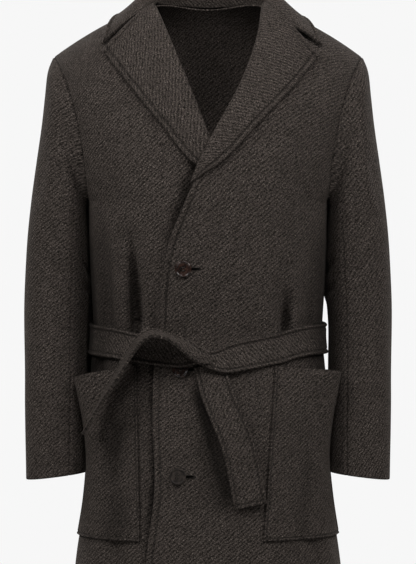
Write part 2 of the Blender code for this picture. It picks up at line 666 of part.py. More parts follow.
def button(name, place, collection):
    """A turned button lying on the upper front."""
    profile = bmesh.new()
    corners = [profile.verts.new((radius, 0.0, height)) for radius, height in button_profile()]
    for start, end in zip(corners, corners[1:]):
        profile.edges.new((start, end))
    mesh = bpy.data.meshes.new(name)
    profile.to_mesh(mesh)
    profile.free()
    piece = add_object(name, mesh, collection, material(name + "_horn", HORN, HORN_ROUGHNESS))
    turned = piece.modifiers.new("Turned", "SCREW")
    turned.axis = "Z"
    turned.steps = BUTTON_STEPS
    turned.render_steps = BUTTON_STEPS
    turned.use_merge_vertices = True
    turned.merge_threshold = MERGE_DISTANCE
    x = np.array(place.x)
    height = np.array(place.height)
    angle, level = front_place(x, height)
    seat = wrap_lift(x, height) + CLOTH / 2 + SEAM_GAP
    facing = body_normal(angle, level)
    piece.location = on_body(angle, level, seat)
    tilt = math.atan2(facing[2], -facing[1])
    swing = math.atan2(facing[0], -facing[1])
    piece.rotation_euler = (math.pi / 2 - tilt, 0.0, swing)
    return piece


def main():
    """Build every piece of the coat."""
    for old in list(bpy.data.objects):
        bpy.data.objects.remove(old, do_unlink=True)
    coat = bpy.data.collections.new("wrap_coat")
    bpy.context.scene.collection.children.link(coat)

    cloth("back", back_points(), CLOTH, coat)
    cloth("front_left", front_points(OVER_EDGE, 1, True), CLOTH, coat)
    cloth("front_right", front_points(UNDER_EDGE, -1, False), CLOTH, coat)

    top_turns = np.linspace(
        BACK_SLEEVE_SEAM - 2 * math.pi + SLEEVE_SEAM_TURN, FRONT_SLEEVE_SEAM - SLEEVE_SEAM_TURN,
        TOP_SLEEVE_COLUMNS,
    )
    under_turns = np.linspace(FRONT_SLEEVE_SEAM, BACK_SLEEVE_SEAM, UNDER_SLEEVE_COLUMNS)
    for side_name, side in (("left", 1), ("right", -1)):
        cloth(f"sleeve_{side_name}_top", sleeve_points(top_turns, side), CLOTH, coat)
        cloth(f"sleeve_{side_name}_under", sleeve_points(under_turns, side), CLOTH, coat)

    cloth("collar", collar_points(), TURNED_CLOTH, coat)
    cloth("lapel_left", lapel_points(OVER_LAPEL, OVER_EDGE, True), TURNED_CLOTH, coat)
    cloth("lapel_right", lapel_points(UNDER_LAPEL, UNDER_EDGE, False), TURNED_CLOTH, coat)
    for name, pocket in POCKETS.items():
        cloth(name, pocket_points(pocket), CLOTH, coat)

    cloth("belt_back", back_band_points(), TURNED_CLOTH, coat)
    cloth("belt_front_left", front_band_points(BAND_LEFT, 1), TURNED_CLOTH, coat)
    cloth("belt_front_right", front_band_points(BAND_RIGHT, -1), TURNED_CLOTH, coat)
    cloth("belt_tail_over", strip_points(TAIL_OVER), TURNED_CLOTH, coat)
    cloth("belt_tail_under", tail_under_points(), TURNED_CLOTH, coat)

    for number, place in enumerate(BUTTONS, start=1):
        button(f"button_{number}", place, coat)


main()
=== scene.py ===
"""Dresses the belted wrap coat: each cloth piece is a fine shell on its solid's form.

The frame is the solids' frame, in metres: the origin lies midway between the neck points, +Z is
up, +X is the wearer's left and -Y is the front. The tables of sizes are the ones that the solids
are made from, apart from rows moved by some millimetres since, on finer grids. To them this file
adds the creases, the turned and stitched edges, the horn buttons, the worked buttonholes and the
woven finish.
"""

from __future__ import annotations

import logging
import math
from dataclasses import dataclass, field
from enum import Enum
from math import pi, radians
from typing import Callable, NamedTuple, Sequence, TypeVar

import bpy
import numpy as np
from numpy.typing import NDArray
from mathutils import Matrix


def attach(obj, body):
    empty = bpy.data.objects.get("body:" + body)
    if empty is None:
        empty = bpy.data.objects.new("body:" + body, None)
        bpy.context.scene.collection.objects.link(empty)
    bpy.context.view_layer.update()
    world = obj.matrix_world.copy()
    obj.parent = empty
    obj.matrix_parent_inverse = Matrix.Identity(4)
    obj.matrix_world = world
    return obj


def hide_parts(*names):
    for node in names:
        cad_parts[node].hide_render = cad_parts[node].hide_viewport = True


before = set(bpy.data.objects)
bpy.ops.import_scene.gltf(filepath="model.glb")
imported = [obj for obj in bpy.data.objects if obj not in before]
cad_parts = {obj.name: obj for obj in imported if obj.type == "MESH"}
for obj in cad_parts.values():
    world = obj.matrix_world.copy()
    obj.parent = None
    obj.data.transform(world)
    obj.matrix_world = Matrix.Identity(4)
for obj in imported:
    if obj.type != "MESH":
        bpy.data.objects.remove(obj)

Array = NDArray[np.float64]
Index = NDArray[np.int64]
Colour = tuple[float, float, float, float]
Material = bpy.types.Material
Socket = bpy.types.NodeSocket
Row = TypeVar("Row")
log = logging.getLogger("wrap_coat")

ROOT = "root"
CLOTH = 0.0025
TURNED_CLOTH = 0.0042
SEAM_GAP = 0.0004
LAY_GAP = 0.0009
POCKET_GAP = 0.0013
NORMAL_STEP = 1e-4
FADE_LEAD = 0.02
LEAST_FADE = 0.01
# Point attribute of painted shade: darkening painted into the cloth along seams, in creases and in the arms'
# shadows.
PAINTED_SHADE_LAYER = "painted_shade"


# Tables of the coat's sizes


def named(kind: Callable[..., Row], rows: Sequence[tuple[float, ...]]) -> tuple[Row, ...]:
    """A table whose plain rows are given the names of their values."""
    return tuple(kind(*row) for row in rows)


class Ring(NamedTuple):
    """A ring of the body: its height, half width, and depth in front and behind."""

    height: float
    half_width: float
    front: float
    back: float


HEM = -1.06
ARMPIT = -0.315
RINGS = named(Ring, (
    (HEM, 0.224, 0.158, 0.16), (-0.96, 0.217, 0.155, 0.157), (-0.87, 0.208, 0.152, 0.153),
    (-0.78, 0.194, 0.148, 0.148), (-0.72, 0.188, 0.146, 0.146), (-0.65, 0.187, 0.142, 0.141),
    (-0.6, 0.187, 0.137, 0.133), (-0.56, 0.184, 0.13, 0.121), (-0.53, 0.181, 0.126, 0.113),
    (-0.49, 0.1825, 0.131, 0.118), (-0.44, 0.1855, 0.138, 0.127), (-0.38, 0.1885, 0.142, 0.134),
    (ARMPIT, 0.19, 0.143, 0.14),
))


class Edge(NamedTuple):
    """Where a front's edge lies at a height; above the break it is the roll line."""

    height: float
    x: float


OVER_EDGE = named(Edge, (
    (HEM, -0.1), (-0.87, -0.0935), (-0.76, -0.081), (-0.65, -0.084),
    (-0.577, -0.0825), (-0.51, -0.075), (-0.45, -0.0717), (-0.384, -0.0604),
    (-0.325, -0.0377), (-0.2865, -0.0205), (-0.2165, 0.014), (-0.15, 0.0495),
    (-0.0616, 0.0812), (0.0, 0.09),
))
UNDER_EDGE = named(Edge, (
    (HEM, 0.08), (-0.577, 0.08), (-0.45, 0.075), (-0.35, 0.06),
    (-0.283, 0.03), (-0.2206, -0.003), (-0.162, -0.0255), (-0.077, -0.0595), (0.0, -0.09),
))


class Lift(NamedTuple):
    """How far the upper front stands off the form at a height."""

    height: float
    lift: float


WRAP_LIFT = named(Lift, (
    (HEM, 0.0045), (-0.52, 0.0045), (-0.45, 0.0045), (-0.38, 0.006),
    (-0.33, 0.0085), (-0.28, 0.0105), (-0.2, 0.0105), (-0.12, 0.006), (0.0, 0.0015),
))
WRAP_LIFT_FROM = 0.16
WRAP_LIFT_FULL = 0.09


class Fold(NamedTuple):
    """A large trough, deepest at one height: angle and width in degrees, the rest in metres."""

    angle: float
    deepest: float
    up: float
    down: float
    depth: float
    width: float


FOLDS = named(Fold, (
    (125.0, -0.5, 0.085, 0.022, 0.02, 4.4), (147.0, -0.495, 0.11, 0.02, 0.007, 4.5),
    (53.0, -0.5, 0.06, 0.022, 0.013, 4.4), (33.0, -0.495, 0.12, 0.02, 0.006, 4.5),
    (132.0, -0.86, 0.13, 0.17, 0.008, 5.0), (40.0, -0.93, 0.15, 0.14, 0.008, 6.0),
    (207.0, -0.5, 0.1, 0.02, 0.009, 4.8), (238.0, -0.5, 0.13, 0.02, 0.012, 4.8),
    (266.0, -0.505, 0.08, 0.02, 0.008, 4.2), (297.0, -0.5, 0.14, 0.02, 0.012, 5.0),
    (331.0, -0.5, 0.09, 0.02, 0.008, 4.6), (222.0, -0.9, 0.2, 0.2, 0.011, 7.0),
    (262.0, -0.94, 0.24, 0.2, 0.013, 7.5), (310.0, -0.89, 0.19, 0.2, 0.011, 7.0),
))


class Station(NamedTuple):
    """A ring of the left sleeve: its outer and inner points, middle depth and half depth."""

    outer_x: float
    outer_z: float
    inner_x: float
    inner_z: float
    mid_y: float
    half_depth: float


STATIONS = named(Station, (
    (0.2555, -0.106, 0.1955, -0.33, 0.01, 0.068), (0.26, -0.145, 0.1955, -0.345, 0.011, 0.07),
    (0.265, -0.19, 0.195, -0.362, 0.012, 0.071), (0.2735, -0.25, 0.195, -0.388, 0.014, 0.071),
    (0.282, -0.315, 0.1945, -0.425, 0.016, 0.069), (0.2895, -0.385, 0.1945, -0.465, 0.018, 0.066),
    (0.293, -0.46, 0.1945, -0.515, 0.018, 0.063), (0.2935, -0.54, 0.1945, -0.575, 0.014, 0.06),
    (0.292, -0.64, 0.1945, -0.655, 0.005, 0.056), (0.2895, -0.756, 0.1945, -0.744, -0.006, 0.052),
))


class TubeRow(NamedTuple):
    """The middle of a left sleeve's tube at a height."""

    height: float
    x: float
    y: float


TUBE = named(TubeRow, (
    (-0.76, 0.242, -0.006), (-0.65, 0.243, 0.005), (-0.54, 0.244, 0.014),
    (-0.4, 0.241, 0.018), (-0.25, 0.232, 0.014), (-0.06, 0.218, 0.01),
))


class LapelRow(NamedTuple):
    """A row of a lapel: the roll line's height and the outer edge's place."""

    roll_height: float
    edge_x: float
    edge_height: float


OVER_LAPEL = named(LapelRow, (
    (-0.2865, -0.012, -0.279), (-0.24, 0.0278, -0.2532), (-0.165, 0.0772, -0.1992), (-0.08, 0.1326, -0.139),
    (-0.004, 0.1725, -0.0885),
))
UNDER_LAPEL = named(LapelRow, (
    (-0.278, 0.02, -0.286), (-0.235, -0.03, -0.252), (-0.162, -0.0745, -0.196), (-0.077, -0.1248, -0.1327),
    (-0.004, -0.164, -0.0805),
))


class CollarRow(NamedTuple):
    """A section of the collar: four points by x, degrees over the dome, and distance off it."""

    seam_x: float
    seam_turn: float
    seam_off: float
    crest_x: float
    crest_turn: float
    crest_off: float
    fall_x: float
    fall_turn: float
    fall_off: float
    edge_x: float
    edge_turn: float
    edge_off: float


COLLAR = named(CollarRow, (
    (0.0825, 86.0, 0.004, 0.1142, 75.0, 0.009, 0.1438, 67.0, 0.0088, 0.172, 61.0, 0.0056),
    (0.0855, 91.5, 0.0048, 0.094, 84.0, 0.021, 0.124, 78.0, 0.013, 0.163, 73.0, 0.0056),
    (0.084, 96.0, 0.0048, 0.08, 91.0, 0.031, 0.11, 89.0, 0.0185, 0.15, 87.0, 0.0056),
    (0.07, 100.8, 0.0046, 0.066, 94.0, 0.036, 0.089, 97.0, 0.026, 0.124, 103.0, 0.0056),
    (0.042, 106.3, 0.0046, 0.039, 98.0, 0.037, 0.047, 105.0, 0.03, 0.066, 114.0, 0.0056),
    (0.0, 109.3, 0.0046, 0.0, 100.0, 0.037, 0.0, 107.0, 0.03, 0.0, 117.0, 0.0056),
))


class BandRow(NamedTuple):
    """A place of a belt stretch: x, height, distance off the form and the width that shows."""

    x: float
    height: float
    out: float
    width: float


BELT_WIDTH = 0.049
BELT_OUT = 0.006
SIDE_BELT_HEIGHT = -0.531
BACK_BELT_HEIGHT = -0.522
BAND_RIGHT = named(BandRow, (
    (-0.15, -0.5363, 0.0066, 0.049), (-0.1085, -0.5435, 0.01, 0.048),
    (-0.045, -0.5528, 0.0138, 0.047), (-0.012, -0.5565, 0.013, 0.027), (0.012, -0.562, 0.012, 0.012),
))
BAND_LEFT = named(BandRow, (
    (0.15, -0.5336, 0.006, 0.049), (0.105, -0.545, 0.0085, 0.05),
    (0.06, -0.5551, 0.013, 0.049), (0.033, -0.562, 0.017, 0.046),
    (0.012, -0.566, 0.0187, 0.034), (-0.022, -0.561, 0.0205, 0.014),
))


class StripRow(NamedTuple):
    """A place of a free belt end: its point, the turn of its width in degrees, and its width."""

    x: float
    y: float
    z: float
    turn: float
    width: float


TAIL_OVER = named(StripRow, (
    (0.0215, -0.1435, -0.56, 5, 0.01), (0.0062, -0.1475, -0.5577, 12, 0.019),
    (-0.0123, -0.159, -0.5546, 35, 0.028), (-0.0368, -0.164, -0.5389, 64, 0.038),
    (-0.0583, -0.166, -0.5275, 78, 0.043), (-0.0751, -0.166, -0.5213, 79, 0.043),
    (-0.0889, -0.164, -0.5217, 76, 0.044), (-0.1075, -0.154, -0.5335, 75, 0.046),
    (-0.1229, -0.149, -0.555, 78, BELT_WIDTH), (-0.143, -0.144, -0.5893, 80, BELT_WIDTH),
    (-0.166, -0.137, -0.6262, 84, BELT_WIDTH), (-0.1915, -0.13, -0.674, 90, BELT_WIDTH),
))


class TailRow(NamedTuple):
    """A place of the hanging belt end: x, height and distance off the form."""

    x: float
    height: float
    out: float


TAIL_UNDER = named(TailRow, (
    (0.0015, -0.57, 0.0084), (0.0138, -0.6152, 0.0125), (0.0445, -0.695, 0.0155), (0.0632, -0.788, 0.015),
))


class Crease(NamedTuple):
    """A small trough or ridge, drawn on the cloth from a start to an end, in metres.

    u runs across the cloth and v along its grain. A negative depth is a ridge. left and right
    are its widths on either hand, and the fades are the shares of its length over which it
    grows at the start and dies at the end. shade is painted shade: how much darker the cloth is
    painted along it, in its bottom or in a shadow cast on it.
    """

    u_start: float
    v_start: float
    u_end: float
    v_end: float
    depth: float
    left: float
    right: float
    fade_start: float = 0.4
    fade_end: float = 0.4
    shade: float = 0.0


def creases_mm(*rows: tuple[float, ...]) -> tuple[Crease, ...]:
    """Creases from rows whose seven lengths are in millimetres, with their shares after them."""
    return tuple(Crease(*(length / 1000 for length in row[:7]), *row[7:]) for row in rows)


# Plain curves


def spline(knots: Sequence[float] | Array, values: Sequence | Array, at: Array) -> Array:
    """Smooth cubic curve through the values at the knots, with slopes from their neighbours.

    Args:
        knots: rising places of the values.
        values: numbers or points, one for each knot.
        at: where the curve is wanted.

    Returns:
        The curve's values, shaped as at with the values' own axes after it.
    """
    knots = np.asarray(knots, float)
    values = np.asarray(values, float)
    at = np.clip(np.asarray(at, float), knots[0], knots[-1])
    slopes = np.gradient(values, knots, axis=0)
    low = np.clip(np.searchsorted(knots, at, side="right") - 1, 0, len(knots) - 2)
    shape = at.shape + (1,) * (values.ndim - 1)
    span = (knots[low + 1] - knots[low]).reshape(shape)
    t = (at - knots[low]).reshape(shape) / span
    start = values[low] * (1 + 2 * t) * (1 - t) ** 2 + slopes[low] * span * t * (1 - t) ** 2
    end = values[low + 1] * t * t * (3 - 2 * t) + slopes[low + 1] * span * t * t * (t - 1)
    return start + end


def column(rows: Sequence[NamedTuple], name: str) -> list[float]:
    """One named column of a table."""
    return [getattr(row, name) for row in rows]


def by_height(rows: Sequence[NamedTuple], name: str, height: Array) -> Array:
    """A column as a smooth curve over the table's heights."""
    return spline(column(rows, "height"), column(rows, name), height)


def by_share(rows: Sequence[NamedTuple], name: str, share: Array) -> Array:
    """A column as a smooth curve over rows that lie evenly from 0 to 1."""
    return spline(np.linspace(0, 1, len(rows)), column(rows, name), share)


def smoothstep(low: float, high: float, at: Array) -> Array:
    """0 below low, 1 above high, smooth between."""
    t = np.clip((at - low) / (high - low), 0.0, 1.0)
    return t * t * (3.0 - 2.0 * t)


def bell(distance: Array, width: Array | float) -> Array:
    """A bell curve: e to the power of minus the square of distance over width."""
    return np.exp(-((distance / width) ** 2))


def signed_power(base: Array, power: float) -> Array:
    """A power that keeps the sign of its base."""
    return np.sign(base) * np.abs(base) ** power


def unit(vectors: Array) -> Array:
    """Vectors scaled to length 1."""
    return vectors / np.maximum(np.linalg.norm(vectors, axis=-1, keepdims=True), 1e-12)


def run_length(points: Array, axis: int) -> Array:
    """Length run along one axis of a grid of points, from its start."""
    steps = np.linalg.norm(np.diff(points, axis=axis), axis=-1)
    start = np.zeros_like(np.take(steps, [0], axis=axis))
    return np.concatenate([start, np.cumsum(steps, axis=axis)], axis=axis)


def ellipse_run(half_x: float, half_y: float, turns: Array) -> Array:
    """Length run round an ellipse at rising turns: the sum of mean speed times step."""
    speed = np.hypot(half_x * np.sin(turns), half_y * np.cos(turns))
    return np.concatenate([[0.0], np.cumsum((speed[1:] + speed[:-1]) / 2 * np.diff(turns))])


def round_turns(count: int) -> Array:
    """Even turns once round, from 0."""
    return np.linspace(0, 2 * pi, count + 1)[:-1]


def on_line(at: Array, run: Array, line: Array) -> Array:
    """Values of a line, given at its run, at other lengths along it."""
    return np.stack([np.interp(at, run, values) for values in line.T], axis=-1)


def spaced(count: int, length: float, first: EdgeFinish, last: EdgeFinish) -> Array:
    """Shares from 0 to 1 that lie close together where an edge is rounded and stitched.

    Args:
        count: how many even steps the middle has.
        length: about how long the cloth is in this direction.
        first: finish of the edge at 0.
        last: finish of the edge at 1.

    Returns:
        The rising shares.
    """
    head = first.steps() / length
    tail = 1.0 - last.steps()[::-1] / length
    return np.concatenate([head, np.linspace(head[-1], tail[0], count)[1:-1], tail])


# The body's form


@dataclass(frozen=True)
class BodyForm:
    """The coat's body: rings from the hem to the armpits, then a dome to the shoulder line.

    A place is an angle and a level. Angle 0 is the left side and a quarter turn the front
    middle. Level 0 is the hem, 1 the armpits and 2 the shoulder line. A ring is a superellipse,
    so that its reach is (|cos|^p + |sin|^p)^(-1/p).
    """

    armpit_half: float = 0.19
    shoulder_half: float = 0.245
    set_back: float = 0.012
    neck_half: float = 0.09
    neck_rise: float = 0.018
    neck_dip: float = radians(19)
    slope: float = 0.3
    rounding: float = 1.45
    ring_power: float = 2.35
    squaring: float = 1.7
    spread: float = 2.5
    front_armhole: float = 1.8
    back_armhole: float = 1.6
    tip_widening: float = 2.5
    tip_power: float = 6.0
    dome_height: float = 0.3
    dome_depth: float = 0.14

    def shoulder_height(self, x: Array) -> Array:
        """Height of the shoulder line at x: a parabola inside the neck, a rounding slope outside."""
        out = np.maximum(np.abs(x) - self.neck_half, 0.0)
        inside = np.clip(np.abs(x) / self.neck_half, 0.0, 1.0)
        return self.neck_rise * (1 - inside**2) - self.slope * out - self.rounding * out**2

    def level_of(self, height: Array) -> Array:
        """Level of a height below the armpits."""
        return (np.asarray(height, float) - HEM) / (ARMPIT - HEM)

    def ring_height(self, level: Array) -> Array:
        """Height of the ring at a level, the armpits' from there up."""
        return HEM + np.minimum(level, 1.0) * (ARMPIT - HEM)

    def half_width(self, level: Array) -> Array:
        """Half width of the form at a level."""
        below = by_height(RINGS, "half_width", self.ring_height(level))
        over = np.clip(level - 1.0, 0.0, 1.0)
        return below + (self.shoulder_half - self.armpit_half) * (1 - (1 - over) ** self.spread)

    def power(self, level: Array) -> Array:
        """Power of the ring's outline at a level; 2 is an ellipse and more is squarer."""
        return self.ring_power + self.squaring * np.clip(level - 1.0, 0.0, 1.0)

    def point(self, angle: Array, level: Array) -> Array:
        """Point of the form.

        Args:
            angle: turn from the left side, in radians.
            level: 0 at the hem, 1 at the armpits, 2 at the shoulder line.

        Returns:
            Points, with x, y and z on the last axis.
        """
        angle, level = np.broadcast_arrays(np.asarray(angle, float), np.asarray(level, float))
        heights = self.ring_height(level)
        turn = np.maximum(level - 1.0, 0.0) * pi / 2
        front = by_height(RINGS, "front", heights)
        back = by_height(RINGS, "back", heights)
        power = self.power(level)
        reach = (np.abs(np.cos(angle)) ** power + np.abs(np.sin(angle)) ** power) ** (-1 / power)
        along = reach * np.sin(angle)
        x = self.half_width(level) * reach * np.cos(angle)
        y = self.set_back * np.sin(turn) - np.where(along > 0, front, back) * np.cos(turn) * along
        dome = ARMPIT + (self.shoulder_height(x) - ARMPIT) * np.sin(turn)
        return np.stack([x, y, np.where(level > 1.0, dome, heights)], axis=-1)

    def normal(self, angle: Array, level: Array) -> Array:
        """Outward direction of the form, across two small steps."""
        level = np.minimum(level, 2.0 - 2 * NORMAL_STEP)
        around = self.point(angle + NORMAL_STEP, level) - self.point(angle - NORMAL_STEP, level)
        upward = self.point(angle, level + NORMAL_STEP) - self.point(angle, level - NORMAL_STEP)
        return unit(np.cross(upward, around))

    def off(self, angle: Array, level: Array, out: Array) -> Array:
        """Point of the form, moved outwards."""
        return self.point(angle, level) + np.asarray(out, float)[..., None] * self.normal(angle, level)

    def front_level(self, x: Array, height: Array) -> Array:
        """Level of a front point given by x and height."""
        rise = (height - ARMPIT) / (self.shoulder_height(x) - ARMPIT)
        dome = 1.0 + np.arcsin(np.clip(rise, 0.0, 1.0)) * 2 / pi
        return np.where(height > ARMPIT, dome, self.level_of(height))

    def front_angle(self, x: Array, level: Array) -> Array:
        """Angle of a front point given by x and level."""
        power = self.power(level)
        aside = np.clip(x / self.half_width(level), -1.0, 1.0)
        return np.arctan2((1 - np.abs(aside) ** power) ** (1 / power), aside)

    def front_place(self, x: Array, height: Array) -> tuple[Array, Array]:
        """Angle and level of a front point given by x and height."""
        level = self.front_level(x, height)
        return self.front_angle(x, level), level

    def on_dome(self, x: Array, turn: Array, out: Array) -> Array:
        """Point off the dome at x; turn goes over it from front armpit level to back."""
        behind = turn > pi / 2
        level = 1.0 + np.where(behind, pi - turn, turn) * 2 / pi
        angle = self.front_angle(x, level)
        return self.off(np.where(behind, 2 * pi - angle, angle), level, out)

    def grain_length(self, level: Array) -> Array:
        """Length along the grain: the height up to the armpits, then the arc over the dome."""
        turns = np.linspace(0, pi / 2, 64)
        arc = ellipse_run(self.dome_depth, self.dome_height, turns)
        over = np.interp(np.maximum(level - 1.0, 0.0) * pi / 2, turns, arc)
        return self.ring_height(level) + over

    def armhole_x(self, rise: Array, power: float) -> Array:
        """Half distance between the armholes, at a share of their height."""
        return self.armpit_half + (self.shoulder_half - self.armpit_half) * rise**power

    def side_angles(self, levels: Array, rises: Array, power: float) -> Array:
        """Angle from the side at which a panel stops: the side seam, then the armhole."""
        seam = SEAM_GAP / (2 * self.half_width(levels))
        cut = self.front_angle(self.armhole_x(rises, power), levels)
        return np.where(rises > 0, np.maximum(cut, seam), seam)

    def shoulder_gap(self, x: Array) -> Array:
        """Half the gap of the shoulder seam, wider at the tips where the walls turn sharply."""
        return SEAM_GAP * (1 + self.tip_widening * (np.abs(x) / self.shoulder_half) ** self.tip_power)


FORM = BodyForm()


def fold_depth(angle: Array, height: Array) -> Array:
    """How far the large folds press the cloth in, as a negative distance: a sum of bell troughs."""
    total = np.zeros_like(height)
    for fold in FOLDS:
        aside = (np.degrees(angle) - fold.angle) / fold.width
        above = height - fold.deepest
        reach = np.where(above > 0, fold.up, fold.down)
        total -= fold.depth * np.exp(-(aside**2) - (above / reach) ** 2)
    return total


def wrap_lift(x: Array, height: Array) -> Array:
    """How far the upper front stands off the form, dying out towards its side."""
    full = by_height(WRAP_LIFT, "lift", height)
    return full * smoothstep(-WRAP_LIFT_FROM, -WRAP_LIFT_FULL, -x)


# Cloth shells


class Side(Enum):
    """The four edges of a cloth grid."""

    FIRST_ROW = "first row"
    LAST_ROW = "last row"
    FIRST_COLUMN = "first column"
    LAST_COLUMN = "last column"


@dataclass(frozen=True)
class EdgeFinish:
    """How an edge is made.

    rounding is how far in it is rounded, edge_share the share of the wall that is left at the very
    edge, and stitch how far in its stitching sinks, 0 for none. shade is painted shade along the
    edge: how much darker the cloth is painted as far in as shade_reach, and line the same painted
    shade along the stitching's groove.
    """

    rounding: float = 0.0009
    edge_share: float = 0.5
    stitch: float = 0.0
    groove: float = 0.0018
    groove_width: float = 0.0019
    swell: float = 0.0011
    swell_share: float = 1 / 2.6
    shade: float = 0.5
    shade_reach: float = 0.0008
    shade_fade: float = 0.0008
    line: float = 0.55
    line_share: float = 0.8
    line_step: float = 0.0011

    def steps(self) -> Array:
        """Distances from the edge at which the grid has lines."""
        close = np.array((0.0, 0.07, 0.27, 0.6, 1.0, 1.7)) * self.rounding
        if not self.stitch:
            return close
        reach = self.stitch + 3 * self.groove_width
        return np.concatenate([close, np.arange(close[-1] + self.line_step, reach, self.line_step)])

    def thinning(self, distance: Array) -> Array:
        """Share of the wall's half thickness at a distance from the edge: a quarter circle."""
        inward = np.clip(distance / self.rounding, 0.0, 1.0)
        return self.edge_share + (1 - self.edge_share) * np.sqrt(np.maximum(1 - (1 - inward) ** 2, 0.0))

    def relief(self, distance: Array) -> Array:
        """Height of the turned edge's swell less the stitching's groove."""
        if not self.stitch:
            return np.zeros_like(distance)
        swell = self.swell * bell(distance - self.stitch / 2, self.stitch * self.swell_share)
        return swell - self.groove * bell(distance - self.stitch, self.groove_width)

    def darkening(self, distance: Array) -> Array:
        """Painted shade at a distance from the edge: how much darker the cloth is painted, from 0 to 1."""
        low, high = 0.75 * self.shade_reach, self.shade_reach + self.shade_fade
        shade = self.shade * (1 - smoothstep(low, high, distance))
        if not self.stitch:
            return shade
        line = bell(distance - self.stitch, self.line_share * self.groove_width)
        return np.maximum(shade, self.line * line)


# The shade values are painted shade along seams and edges; SLEEVE_HEAD's is where a sleeve goes under the
# armhole.
SEAM = EdgeFinish()
ARMHOLE = EdgeFinish(rounding=0.0018, edge_share=0.25, shade=0.8, shade_reach=0.001)
SLEEVE_HEAD = EdgeFinish(shade=0.85, shade_reach=0.0098)
TURNED = EdgeFinish(rounding=0.002, edge_share=0.08)
FRONT_EDGE = EdgeFinish(rounding=0.002, edge_share=0.08, stitch=0.01, shade=0.35)
SLEEVE_SEAM = EdgeFinish(shade=0.12)
LAPEL_EDGE = EdgeFinish(rounding=0.0022, edge_share=0.08, stitch=0.0088)
BELT_EDGE = EdgeFinish(rounding=0.0021, edge_share=0.08, stitch=0.0062, groove=0.0016, groove_width=0.0017)
POCKET_EDGE = EdgeFinish(rounding=0.0016, edge_share=0.08, stitch=0.0045, groove=0.0009, groove_width=0.0013)


def edged(*finishes: EdgeFinish) -> dict[Side, EdgeFinish]:
    """Finishes of the first and last row, then of the first and last column."""
    return dict(zip(Side, finishes))


class Held(Enum):
    """How a piece of cloth is held."""

    HUNG = "hung"
    LAID = "laid"
    FOLDED = "folded"


